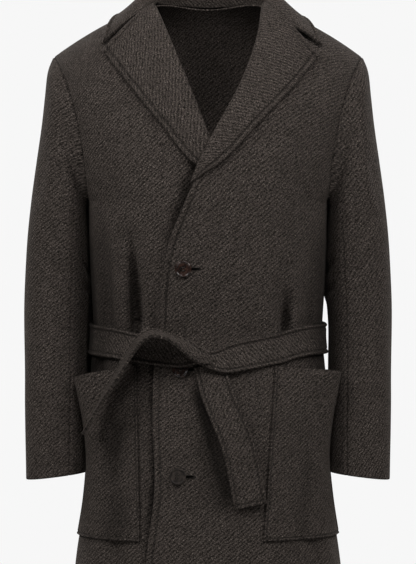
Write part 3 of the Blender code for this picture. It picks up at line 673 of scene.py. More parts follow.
@dataclass
class ClothPiece:
    """A piece of cloth as a closed shell on a grid of points, with rounded edges.

    The shell's two faces are the middle surface moved out and in by half the thickness, which
    shrinks towards the edges, and a narrow wall joins them there. seamed gives, along an edge, the
    share to which it is sewn to its neighbour instead of finished.
    """

    node: str
    middle: Array
    grain: Array
    thickness: float
    edges: dict[Side, EdgeFinish]
    facing: Array
    held: Held = Held.HUNG
    rests_on: tuple[str, ...] = ()
    creases: tuple[Crease, ...] = ()
    # Painted shade: stitch_fade fades it along edges, upper_shade keeps it, arm_shade is the arms' painted
    # shadow.
    stitch_fade: Array | None = None
    upper_shade: Array | float = 0.0
    arm_shade: Array | float = 0.0
    most_swell: float = 0.0012
    stands_for_node: bool = True
    seamed: dict[Side, Array] = field(default_factory=dict)
    outer: Array = field(init=False)
    normals: Array = field(init=False)
    distances: dict[Side, Array] = field(init=False)
    crease_shade: Array = field(init=False)

    def __post_init__(self) -> None:
        """Crease the cloth, then work out its faces."""
        depth, self.crease_shade = self.creased()
        self.middle = self.middle + self.surface_normals(self.middle) * depth[..., None]
        self.normals = self.surface_normals(self.middle)
        across = run_length(self.middle, 1)
        along = run_length(self.middle, 0)
        self.distances = {
            Side.FIRST_ROW: along, Side.LAST_ROW: along[-1:] - along, Side.FIRST_COLUMN: across,
            Side.LAST_COLUMN: across[:, -1:] - across,
        }
        self.outer = self.middle + self.normals * (self.half_wall() + self.relief())[..., None]

    def surface_normals(self, points: Array) -> Array:
        """Unit normals of the grid, on the side that the piece faces."""
        normals = unit(np.cross(np.gradient(points, axis=0), np.gradient(points, axis=1)))
        return normals * np.sign((normals * self.facing).sum())

    def creased(self) -> tuple[Array, Array]:
        """Sum of the creases: bell troughs across, faded along.

        Returns:
            The distances outwards, and the painted shade: how much darker the cloth is painted there.
        """
        u, v = self.grain[..., 0], self.grain[..., 1]
        total, shade = np.zeros_like(u), np.zeros_like(u)
        for crease in self.creases:
            run = np.array((crease.u_end - crease.u_start, crease.v_end - crease.v_start))
            length = float(np.hypot(*run))
            run_u, run_v = run / length
            du, dv = u - crease.u_start, v - crease.v_start
            share = (du * run_u + dv * run_v) / length
            hand = du * run_v - dv * run_u
            form = bell(hand, np.where(hand > 0, crease.right, crease.left))
            for fade, way in ((crease.fade_start, share), (crease.fade_end, 1 - share)):
                form = form * smoothstep(-FADE_LEAD, max(fade, LEAST_FADE), way)
            total -= crease.depth * form
            shade = np.maximum(shade, crease.shade * form)
        return total, shade

    def sewn(self, side: Side) -> Array:
        """Share to which an edge is sewn, spread over the grid."""
        share = self.seamed.get(side, np.zeros(1))
        return share[None, :] if side in (Side.FIRST_ROW, Side.LAST_ROW) else share[:, None]

    def thinned(self) -> Array:
        """Share of the full wall, which is least along the edges."""
        share = np.ones(self.middle.shape[:2])
        for side, finish in self.edges.items():
            sewn = self.sewn(side)
            distance = self.distances[side]
            share = share * (finish.thinning(distance) * (1 - sewn) + SEAM.thinning(distance) * sewn)
        return share

    def half_wall(self) -> Array:
        """Half the wall's thickness."""
        return self.thickness / 2 * self.thinned()

    def relief(self) -> Array:
        """Swell and stitch grooves of all edges, on the outer face alone."""
        total = np.zeros(self.middle.shape[:2])
        for side, finish in self.edges.items():
            total = total + finish.relief(self.distances[side]) * (1 - self.sewn(side))
        if self.stitch_fade is not None:
            total = total * self.stitch_fade
        return np.minimum(total, self.most_swell) * self.thinned()

    def painted_shade(self) -> Array:
        """Painted shade along all edges, in the creases and under the arms, the strongest where two meet."""
        total = np.zeros(self.middle.shape[:2])
        for side, finish in self.edges.items():
            total = np.maximum(total, finish.darkening(self.distances[side]) * (1 - self.sewn(side)))
        if self.stitch_fade is not None:
            total = total * np.maximum(self.stitch_fade, self.upper_shade)
        return np.maximum(np.maximum(total, self.crease_shade), self.arm_shade)

    def build(self, finish: Material) -> None:
        """Make the shell, dress it, attach it to the root body and hide the solid it stands for.

        Args:
            finish: the cloth's material.
        """
        rows, columns = self.middle.shape[:2]
        inner = self.middle - self.normals * self.half_wall()[..., None]
        front = np.arange(rows * columns).reshape(rows, columns)
        behind = front + rows * columns
        vertices = np.concatenate([self.outer.reshape(-1, 3), inner.reshape(-1, 3)])
        grain = np.concatenate([self.grain.reshape(-1, 2), self.grain.reshape(-1, 2)])
        turn = np.cross(np.gradient(self.middle, axis=0), np.gradient(self.middle, axis=1))
        forward = float((turn * self.normals).sum()) > 0
        faces = np.concatenate([
            grid_faces(front, forward), grid_faces(behind, not forward),
            grid_faces(np.stack([border(front), border(behind)]), forward),
        ])
        stands_for = self.node if self.stands_for_node else None
        piece = add_piece(f"{self.node}_cloth", vertices, faces, finish, "twill", stands_for, grain)
        # Painted shade along seams, stitching, creases and under the arms, on the outer face only.
        shade = np.concatenate([self.painted_shade().ravel(), np.zeros(rows * columns)])
        layer = piece.data.attributes.new(PAINTED_SHADE_LAYER, "FLOAT", "POINT")
        layer.data.foreach_set("value", shade.astype(np.float32))

    def stitch_line(self, side: Side) -> tuple[Array, Array]:
        """Line on the outer face where an edge is stitched.

        Args:
            side: which edge.

        Returns:
            The line's points and its outward directions.
        """
        along_rows = side in (Side.FIRST_COLUMN, Side.LAST_COLUMN)
        both = np.concatenate([self.outer, self.normals], axis=-1)
        distance = self.distances[side]
        if not along_rows:
            both, distance = both.swapaxes(0, 1), distance.T
        if side in (Side.LAST_ROW, Side.LAST_COLUMN):
            both, distance = both[:, ::-1], distance[:, ::-1]
        at = self.edges[side].stitch
        after = np.clip((distance < at).sum(axis=1), 1, distance.shape[1] - 1)
        rows = np.arange(len(distance))
        low, high = distance[rows, after - 1], distance[rows, after]
        share = ((at - low) / np.maximum(high - low, 1e-9))[:, None]
        line = both[rows, after - 1] * (1 - share) + both[rows, after] * share
        return line[:, :3], unit(line[:, 3:])


def border(index: Index) -> Index:
    """Vertex numbers once round a grid's edge, back to the start."""
    return np.concatenate([index[0, :-1], index[:-1, -1], index[-1, :0:-1], index[::-1, 0]])


def grid_faces(index: Index, forward: bool) -> Index:
    """Four-cornered faces of a grid of vertex numbers.

    Args:
        index: the vertices' numbers, by row and column.
        forward: whether the face that runs along rows and then columns points outwards.

    Returns:
        One row of four numbers for each face.
    """
    corners = [index[:-1, :-1], index[1:, :-1], index[1:, 1:], index[:-1, 1:]]
    if not forward:
        corners.reverse()
    return np.stack([corner.ravel() for corner in corners], axis=-1)


def closed(index: Index, axis: int) -> Index:
    """Vertex numbers with the first ones repeated at the end of an axis."""
    return np.concatenate([index, np.take(index, [0], axis=axis)], axis=axis)


def add_piece(
    name: str,
    vertices: Array,
    faces: Index,
    finish: Material,
    slot: str | None = None,
    stands_for: str | None = None,
    grain: Array | None = None,
) -> bpy.types.Object:
    """Put arrays into a smooth mesh, link it at the origin, attach it to the root body and hide its solid.

    Args:
        name: the piece's name.
        vertices: points, one row each.
        faces: vertex numbers, one row for each face.
        finish: the material.
        slot: a material slot's name, none for the stage; only whether one is given is used.
        stands_for: the solid that it replaces, if any.
        grain: place of each vertex on the flat cloth, kept as the UV map.

    Returns:
        The new object.
    """
    mesh = bpy.data.meshes.new(name)
    corners = faces.shape[1]
    mesh.vertices.add(len(vertices))
    mesh.vertices.foreach_set("co", np.ascontiguousarray(vertices, np.float32).ravel())
    mesh.loops.add(faces.size)
    mesh.loops.foreach_set("vertex_index", faces.astype(np.int32).ravel())
    mesh.polygons.add(len(faces))
    mesh.polygons.foreach_set("loop_start", np.arange(0, faces.size, corners, dtype=np.int32))
    mesh.update(calc_edges=True)
    if grain is not None:
        layer = mesh.uv_layers.new(name="grain")
        layer.data.foreach_set("uv", grain[faces.ravel()].astype(np.float32).ravel())
    mesh.validate()
    mesh.shade_smooth()
    mesh.materials.append(finish)
    piece = bpy.data.objects.new(name, mesh)
    bpy.context.scene.collection.objects.link(piece)
    if slot:
        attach(piece, ROOT)
    if stands_for:
        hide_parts(stands_for)
    return piece


def turned(grain: Array, turn: float) -> Array:
    """Places on the flat cloth, turned so that its ribs slant by this much more."""
    u, v = grain[..., 0], grain[..., 1]
    return np.stack(
        [u * math.cos(turn) + v * math.sin(turn), v * math.cos(turn) - u * math.sin(turn)], axis=-1
    )


def drape(points: Array, scale: float) -> Array:
    """Slow unevenness of hanging cloth: a sum of long waves over the place in space."""
    x, y, z = points[..., 0], points[..., 1], points[..., 2]
    waves = (
        np.sin(31 * x + 9 * z + 1.3) * np.sin(17 * z - 12 * y + 0.4)
        + 0.6 * np.sin(52 * x - 21 * y + 7 * z + 2.1)
        + 0.5 * np.sin(38 * z + 24 * x - 33 * y + 0.9)
    )
    return scale * waves / 2.1


@dataclass(frozen=True)
class ArmShade:
    """Painted shadow that an arm casts on the side of the body: a dark core, then a soft border."""

    deep: float
    core: float
    soft: float
    soft_from: float
    soft_to: float
    core_power: float = 6.0

    def at(self, from_side: Array) -> Array:
        """How much darker the cloth is painted at a distance from the side seam."""
        core = self.deep * np.exp(-((from_side / self.core) ** self.core_power))
        return np.maximum(core, self.soft * (1 - smoothstep(self.soft_from, self.soft_to, from_side)))


# Painted shadows of the arms: on the left front and belt, the right front and belt, and the back.
LEFT_ARM_SHADE = ArmShade(0.85, 0.05, 0.66, 0.048, 0.11)
RIGHT_ARM_SHADE = ArmShade(0.99, 0.059, 0.5, 0.07, 0.135)
BACK_ARM_SHADE = ArmShade(0.6, 0.03, 0.4, 0.03, 0.08)


# Body panels


@dataclass
class BodyPanels:
    """The back and the two fronts, whose grids run from hem to shoulder and from side to edge."""

    low_rows: int = 150
    dome_rows: int = 64
    front_columns: int = 92
    back_columns: int = 150
    front_width: float = 0.27
    back_width: float = 0.5
    unevenness: float = 0.0007
    allowance_turn: float = radians(2.4)
    allowance_wall: float = 0.0016
    allowance_ends: float = 0.004
    edge_curl: float = 0.0032
    curl_reach: float = 0.013
    # Heights at which the arms' painted shadow starts, is full, starts to fade and ends.
    shaded_span: tuple[float, ...] = (-0.66, -0.58, -0.42, -0.3)
    break_height: float = -0.3
    break_fade: float = 0.02
    # The tenth values are painted shade: the pinch by the belt, the hanging end's shadow, the gap under the
    # belt's end.
    over_creases: tuple[Crease, ...] = creases_mm(
        (122.5, -532, 129, -435, 18, 4.2, 10.5, 0, 0.85, 0.4),
        (-20, -600, 31, -790, 0, 20, 10.5, 0.1, 0.1, 0.8),
        (-6, -635, 32, -800, 0, 20, 26, 0.35, 0.15, 0.58),
        (250, -560, 170, -575, 0, 11, 11, 0.05, 0.45, 0.62), (109, -532, 109, -460, -2.6, 7, 5, 0, 0.9),
        (156, -530, 166, -330, 4.5, 10, 14, 0, 0.8), (56, -535, 30, -440, 2.2, 12, 14, 0.1, 0.8),
        (-10, -520, 42, -400, 1.8, 14, 16, 0.3, 0.6), (175, -300, 150, -130, 3, 12, 18, 0.4, 0.6),
        (135, -250, 174, -330, 2.2, 10, 12, 0.5, 0.3), (15, -600, -15, -980, 4, 16, 24, 0.2, 0.5),
        (175, -860, 190, -1080, 5, 16, 22, 0.5, 0), (70, -830, 80, -1080, 3.5, 16, 24, 0.6, 0),
    )
    # The tenth values are painted shade: the trough above the belt, the dip and shadow by the upper front's
    # edge, the gap under the belt.
    under_creases: tuple[Crease, ...] = creases_mm(
        (-115, -532, -124, -330, 23, 10.5, 3.4, 0, 0.75, 0.45),
        (-106, -532, -109, -420, -2.8, 4, 8, 0, 0.85), (-84, -532, -83, -440, 8, 8, 5, 0, 0.8),
        (-64, -410, -1, -225, 12, 12, 24, 0.35, 0.35, 0.4),
        (-101, -1070, -86.5, -760, 6, 5, 18, 0, 0, 0.85), (-83.5, -760, -86, -540, 6, 5, 18, 0, 0.1, 0.85),
        (-203, -560, -180, -625, 8, 20, 24, 0.1, 0.1, 0.75), (-164, -530, -174, -330, 4.5, 14, 9, 0, 0.8),
        (-170, -330, -148, -140, 3.2, 18, 12, 0.4, 0.6), (-176, -340, -130, -250, 2.4, 11, 12, 0.3, 0.6),
        (-124, -820, -130, -1080, 5, 14, 18, 0.5, 0), (-180, -880, -195, -1080, 4.5, 18, 16, 0.5, 0),
    )
    # The tenth values are painted shade in the troughs above the belt.
    back_creases: tuple[Crease, ...] = creases_mm(
        (-96, -522, -112, -330, 10.5, 11, 6, 0, 0.8, 0.35),
        (90, -522, 104, -300, 10.5, 6, 12, 0, 0.8, 0.35), (15, -520, 8, -400, 7.5, 6, 9, 0, 0.8, 0.3),
        (-45, -520, -40, -440, 5.6, 8, 6, 0, 0.8, 0.25), (50, -520, 60, -450, 5.4, 6, 8, 0, 0.8, 0.25),
        (-164, -330, -125, -140, 4, 12, 16, 0.3, 0.6), (164, -330, 126, -150, 4, 16, 12, 0.3, 0.6),
        (-80, -600, -110, -1070, 5, 20, 16, 0.3, 0), (85, -600, 110, -1070, 5, 16, 20, 0.3, 0),
        (10, -640, 20, -1070, 4, 18, 20, 0.4, 0),
    )

    def rows(self) -> tuple[Array, Array, Array]:
        """Levels along the side, rises up the armhole, and heights along the front edge.

        Returns:
            Three arrays, one value for each row from the hem to the shoulder.
        """
        low = HEM + TURNED.steps()
        heights = np.concatenate([low, np.linspace(low[-1], ARMPIT, self.low_rows)[1:]])
        top = pi / 2 - SEAM.steps()[::-1] / FORM.dome_depth
        turns = np.concatenate([np.linspace(0, top[0], self.dome_rows)[1:-1], top])
        rises = np.sin(turns)
        levels = np.concatenate([FORM.level_of(heights), 1.0 + turns * 2 / pi])
        edge = np.concatenate([heights, ARMPIT * (1 - rises)])
        return levels, np.concatenate([np.zeros(len(heights)), rises]), edge

    def arm_shade_share(self, height: Array) -> Array:
        """Share of the arms' painted shadow that a height has, from the hip to the armpit."""
        hip, full, fading, armpit = self.shaded_span
        return smoothstep(hip, full, height) * (1 - smoothstep(fading, armpit, height))

    def front(self, over: bool) -> ClothPiece:
        """A front, from its side seam and armhole to its edge.

        Args:
            over: whether it is the left front, which laps over the other.

        Returns:
            The piece.
        """
        levels, rises, heights = self.rows()
        angles = FORM.side_angles(levels, rises, FORM.front_armhole)
        if not over:
            angles = pi - angles
        edge_x = by_height(OVER_EDGE if over else UNDER_EDGE, "x", heights)
        edge_angles, edge_levels = FORM.front_place(edge_x, heights)
        share = spaced(self.front_columns, self.front_width, ARMHOLE, FRONT_EDGE)
        angle = angles[:, None] + (edge_angles - angles)[:, None] * share
        level = levels[:, None] + (edge_levels - levels)[:, None] * share
        level = np.minimum(level, 2.0 - SEAM_GAP)
        plain = FORM.point(angle, level)
        out = fold_depth(angle, plain[..., 2]) + drape(plain, self.unevenness)
        if over:
            out = out + wrap_lift(plain[..., 0], plain[..., 2])
        from_edge = run_length(plain[:, ::-1], 1)[:, ::-1]
        if over:
            out = out + self.edge_curl * bell(from_edge, self.curl_reach)
        points = FORM.off(angle, level, out)
        points[-1, :, 1] -= FORM.shoulder_gap(points[-1, :, 0])
        u = edge_x[:, None] + from_edge * (1 if over else -1)
        grain = np.stack([u, FORM.grain_length(level)], axis=-1)
        low, high = self.break_height - self.break_fade, self.break_height + self.break_fade
        fade = 1 - smoothstep(low, high, plain[..., 2])
        return ClothPiece(
            node="front_left" if over else "front_right", middle=points, grain=grain, thickness=CLOTH,
            edges=edged(TURNED, SEAM, ARMHOLE, FRONT_EDGE), facing=FORM.normal(angle, level),
            rests_on=("back_cloth",), creases=self.over_creases if over else self.under_creases,
            stitch_fade=fade, upper_shade=1.0 * (share < 0.5)[None, :],
            # Painted shadow of the arm on the front's side.
            arm_shade=(LEFT_ARM_SHADE if over else RIGHT_ARM_SHADE).at(run_length(plain, 1)) * self.arm_shade_share(plain[..., 2]),
        )

    def back(self) -> ClothPiece:
        """The back, from side to side, with its neckline dipping below the shoulder line."""
        levels, rises, _ = self.rows()
        angles = FORM.side_angles(levels, rises, FORM.back_armhole)
        share = spaced(self.back_columns, self.back_width, ARMHOLE, ARMHOLE)
        angle = (pi + angles)[:, None] + (pi - 2 * angles)[:, None] * share
        level = np.repeat(levels[:, None], len(share), axis=1)
        x = FORM.point(angle, level)[..., 0]
        dip = FORM.neck_dip * (1 - np.clip(np.abs(x) / FORM.neck_half, 0, 1) ** 2) * 2 / pi
        level = level - dip * rises[:, None] ** 2
        plain = FORM.point(angle, level)
        out = fold_depth(angle, plain[..., 2]) + drape(plain, self.unevenness)
        points = FORM.off(angle, level, out)
        points[-1, :, 1] += FORM.shoulder_gap(points[-1, :, 0])
        from_side = run_length(plain, 1)
        nearer = np.minimum(from_side, from_side[:, -1:] - from_side)
        grain = np.stack([from_side - from_side[:, -1:] / 2, FORM.grain_length(level)], axis=-1)
        return ClothPiece(
            node="back", middle=points, grain=grain, thickness=CLOTH,
            edges=edged(TURNED, SEAM, ARMHOLE, ARMHOLE), facing=FORM.normal(angle, level),
            # Painted shadow of the arms beside both side seams.
            creases=self.back_creases, arm_shade=BACK_ARM_SHADE.at(nearer) * self.arm_shade_share(plain[..., 2]),
        )

    def side_seam(self, side: int) -> ClothPiece:
        """The ironed allowance inside a side seam, from the hem to the armpit.

        Args:
            side: 1 for the left side, -1 for the right.

        Returns:
            The piece.
        """
        height = np.linspace(HEM + self.allowance_ends, ARMPIT - self.allowance_ends, self.low_rows)[:, None]
        turn = np.linspace(-self.allowance_turn, self.allowance_turn, 9)[None, :]
        angle = turn + (0.0 if side > 0 else pi) + 0 * height
        level = FORM.level_of(height) + 0 * turn
        plain = FORM.point(angle, level)
        sunk = CLOTH / 2 + self.allowance_wall / 2 + LAY_GAP
        out = fold_depth(angle % (2 * pi), plain[..., 2]) + drape(plain, self.unevenness) - sunk
        grain = np.stack([run_length(plain, 1), plain[..., 2]], axis=-1)
        return ClothPiece(
            node=f"side_seam_{'left' if side > 0 else 'right'}", middle=FORM.off(angle, level, out),
            grain=grain, thickness=self.allowance_wall, edges={edge: SEAM for edge in Side},
            facing=FORM.normal(angle, level),
            rests_on=("back_cloth", f"front_{'left' if side > 0 else 'right'}_cloth"),
            stands_for_node=False,
        )

    def pieces(self) -> list[ClothPiece]:
        """The three panels and the side seams' allowances."""
        panels = [self.back(), self.front(over=True), self.front(over=False)]
        return panels + [self.side_seam(1), self.side_seam(-1)]


# Sleeves


@dataclass
class Sleeves:
    """Two-piece sleeves, lofted from the armhole through rings to the cuff.

    A turn of 0 is the outside of the arm and a quarter turn its front.
    """

    rows: int = 120
    top_columns: int = 74
    under_columns: int = 40
    length: float = 0.62
    top_width: float = 0.23
    under_width: float = 0.12
    roundness: float = 0.92
    front_seam: float = radians(115)
    back_seam: float = radians(238)
    seam_turn: float = radians(0.15)
    cap_shift: float = 0.002
    underarm_shift: float = 0.0032
    underarm_power: float = 1.5
    unevenness: float = 0.001
    grain_turns: dict[int, float] = field(default_factory=lambda: {1: radians(12), -1: radians(-2)})
    tube_halves: tuple[float, float] = (0.046, 0.064)
    tuck_rows: tuple[tuple[float, float], ...] = (
        (0.0075, 0.0036), (0.0045, 0.0036), (0.002, 0.0036), (0.0004, 0.0034), (-0.0008, 0.0027),
    )
    first_share: float = 0.008
    tuck_turn: float = radians(7)
    tuck_drop: float = 0.003
    tip_level: float = 1.93
    arm_middle: tuple[float, ...] = (0.4, 0.0, 0.1)
    freed: float = 0.15
    top_creases: tuple[Crease, ...] = creases_mm(
        (115, -415, 60, -385, 4.6, 13, 10, 0, 0.9), (115, -450, 60, -435, 3.4, 12, 11, 0, 0.9),
        (110, -370, 64, -330, 2.8, 12, 12, 0.1, 0.9), (80, -240, 50, -360, 2.8, 12, 16, 0.5, 0.5),
        (30, -470, 15, -640, 2.2, 16, 14, 0.5, 0.5), (-40, -400, -95, -440, 4.5, 8, 10, 0.5, 0.2),
        (-50, -360, -100, -350, 3.4, 8, 10, 0.5, 0.2), (85, -620, 45, -655, 2.2, 8, 9, 0.3, 0.6),
        (-20, -180, -35, -300, 2.4, 14, 14, 0.4, 0.6),
    )
    under_creases: tuple[Crease, ...] = creases_mm(
        (-45, -400, 20, -420, 4.5, 8, 7, 0.1, 0.6), (-45, -445, 10, -450, 3, 8, 7, 0.1, 0.6),
        (45, -430, 0, -445, 3, 8, 8, 0.1, 0.6),
    )
    inward: dict[int, tuple[float, ...]] = field(default_factory=lambda: {
        1: (0.0022, 0.0024, 0.0026, 0.003, 0.0034, 0.003, 0.0, 0.0, 0.0, 0.0),
        -1: (0.0022, 0.0024, 0.0026, 0.003, 0.0038, 0.0046, 0.0036, 0.0036, 0.002, 0.0),
    })
    inner_ridges: dict[int, tuple[Crease, ...]] = field(default_factory=lambda: {
        1: creases_mm((24, -470, 23, -270, -6.5, 12, 18, 0.15, 0.2)),
        -1: creases_mm(
            (24, -640, 23, -270, -7.2, 12, 18, 0.15, 0.2), (24, -620, 24, -450, -6, 12, 16, 0.3, 0.4),
        ),
    })

    def armhole_place(self, turns: Array) -> tuple[Array, Array]:
        """Angle and level of the body's left armhole edge at each turn."""
        rise = (1 + np.cos(turns)) / 2
        level = 1.0 + np.arcsin(rise) * 2 / pi
        front = np.sin(turns) >= 0
        x = np.where(
            front, FORM.armhole_x(rise, FORM.front_armhole), FORM.armhole_x(rise, FORM.back_armhole)
        )
        angle = FORM.front_angle(x, level)
        return np.where(front, angle, 2 * pi - angle), level

    def tuck(self, turns: Array) -> Array:
        """Rings of the sleeve head's seam allowance, which lies under the body's armhole edge.

        Args:
            turns: turns round the arm, one for each column.

        Returns:
            Points by ring, turn and axis, the deepest ring first.
        """
        angle, level = self.armhole_place(turns)
        edge = FORM.point(angle, level)
        normal = FORM.normal(angle, np.minimum(level, self.tip_level))
        inward = unit(np.cross(normal, np.gradient(edge, axis=0)))
        away = edge - np.array(self.arm_middle)
        inward = inward * np.sign((inward * away).sum(axis=-1, keepdims=True))
        return np.array([edge + inward * under - normal * drop for under, drop in self.tuck_rows])

    def armhole(self, turns: Array) -> Array:
        """First ring of a left sleeve, just outside the body's armhole edge."""
        rise = (1 + np.cos(turns)) / 2
        points = FORM.point(*self.armhole_place(turns))
        grown = (1 - rise) ** self.underarm_power
        points[:, 0] += self.cap_shift + (self.underarm_shift - self.cap_shift) * grown
        return points

    def points(self, turns: Array, shares: Array, side: int) -> Array:
        """Middle surface of part of a sleeve, drawn as a left one.

        Args:
            turns: turns round the arm, one for each column.
            shares: shares of the way from armhole to cuff, one for each row.
            side: 1 for the left sleeve, -1 for the right.

        Returns:
            The grid of points.
        """
        rings = [self.armhole(turns)]
        share = signed_power(np.cos(turns), self.roundness)
        aside = signed_power(np.sin(turns), self.roundness)
        for row, inward in zip(STATIONS, self.inward[side]):
            inner_x = row.inner_x - inward
            x = (row.outer_x + inner_x) / 2 + share * (row.outer_x - inner_x) / 2
            z = (row.outer_z + row.inner_z) / 2 + share * (row.outer_z - row.inner_z) / 2
            rings.append(np.stack([x, row.mid_y - row.half_depth * aside, z], axis=-1))
        knots = np.arange(len(rings))
        return spline(knots, np.array(rings), shares * knots[-1])

    def piece(self, side_name: str, part: str) -> ClothPiece:
        """One half of a sleeve.

        Args:
            side_name: left or right.
            part: top or under.

        Returns:
            The piece.
        """
        side = 1 if side_name == "left" else -1
        rows = spaced(self.rows, self.length, SEAM, TURNED)
        rows = rows[rows > self.first_share]
        turns, sunk = self.columns(part)
        points = np.concatenate([self.tuck(turns), self.points(turns, rows, side)])
        shares = np.concatenate([np.zeros(len(points) - len(rows)), rows])
        middles = np.stack(
            [
                np.full(len(points), (STATIONS[-1].outer_x + STATIONS[-1].inner_x) / 2),
                points[..., 1].mean(axis=1) if part == "top" else np.zeros(len(points)),
                points[..., 2].mean(axis=1),
            ],
            axis=-1,
        )
        facing = unit(points - middles[:, None])
        out = drape(points, self.unevenness) * self.hang(shares)[:, None] - sunk
        points = points + facing * out[..., None]
        across = run_length(points, 1)
        u = across - across[:, -1:] / 2
        v = np.repeat(points[..., 2].mean(axis=1)[:, None], u.shape[1], axis=1)
        grain = np.stack([u, v], axis=-1)
        creases = self.top_creases if part == "top" else self.under_creases
        if part == "under":
            creases = creases + self.inner_ridges[side]
        mirror = np.array([side, 1, 1])
        piece = ClothPiece(
            node=f"sleeve_{side_name}_{part}", middle=points * mirror, grain=grain, thickness=CLOTH,
            edges=edged(SLEEVE_HEAD, TURNED, SLEEVE_SEAM, SLEEVE_SEAM), facing=facing * mirror,
            rests_on=("back_cloth", f"front_{side_name}_cloth"), creases=creases,
        )
        piece.grain = turned(self.weave(points, part) * np.array([-side, 1]), self.grain_turns[side])
        return piece

    def columns(self, part: str) -> tuple[Array, Array]:
        """Turns of a half's columns, and how far each is sunk under the other half.

        Args:
            part: top or under. The under half's edges run on under the top half's.

        Returns:
            The turns and the depths, one for each column.
        """
        if part == "top":
            first = self.back_seam - 2 * pi + self.seam_turn
            last = self.front_seam - self.seam_turn
            share = spaced(self.top_columns, self.top_width, SEAM, SEAM)
            return first + (last - first) * share, np.zeros(len(share))
        share = spaced(self.under_columns, self.under_width, SEAM, SEAM)
        inside = self.front_seam + (self.back_seam - self.front_seam) * share
        lap = np.linspace(self.tuck_turn, 0.0, 6)[:-1]
        turns = np.concatenate([self.front_seam - lap, inside, self.back_seam + lap[::-1]])
        past = np.maximum(self.front_seam - turns, turns - self.back_seam)
        return turns, self.tuck_drop * smoothstep(-self.tuck_turn / 2, 0.0, past)

    def hang(self, shares: Array) -> Array:
        """How freely the cloth hangs: not at the armhole seam, fully a little below it."""
        return smoothstep(0.0, self.freed, shares)

    def weave(self, points: Array, part: str) -> Array:
        """Place of the cloth's weave: the run round an upright elliptic tube, and the height.

        Args:
            points: the grid, drawn as a left sleeve.
            part: top or under, which sets where the turn round the tube is cut.

        Returns:
            Two values for each point.
        """
        middle = spline(column(TUBE, "height"), [(row.x, row.y) for row in TUBE], points[..., 2])
        half_x, half_y = self.tube_halves
        aside = (points[..., 0] - middle[..., 0]) / half_x
        turn = np.arctan2((middle[..., 1] - points[..., 1]) / half_y, aside)
        if part == "under":
            turn = np.where(turn < 0, turn + 2 * pi, turn)
        turns = np.linspace(-2 * pi, 2 * pi, 721)
        arc = ellipse_run(half_x, half_y, turns)
        return np.stack([np.interp(turn, turns, arc), points[..., 2]], axis=-1)

    def pieces(self) -> list[ClothPiece]:
        """The four halves."""
        return [self.piece(side, part) for side in ("left", "right") for part in ("top", "under")]


# Lapels and collar


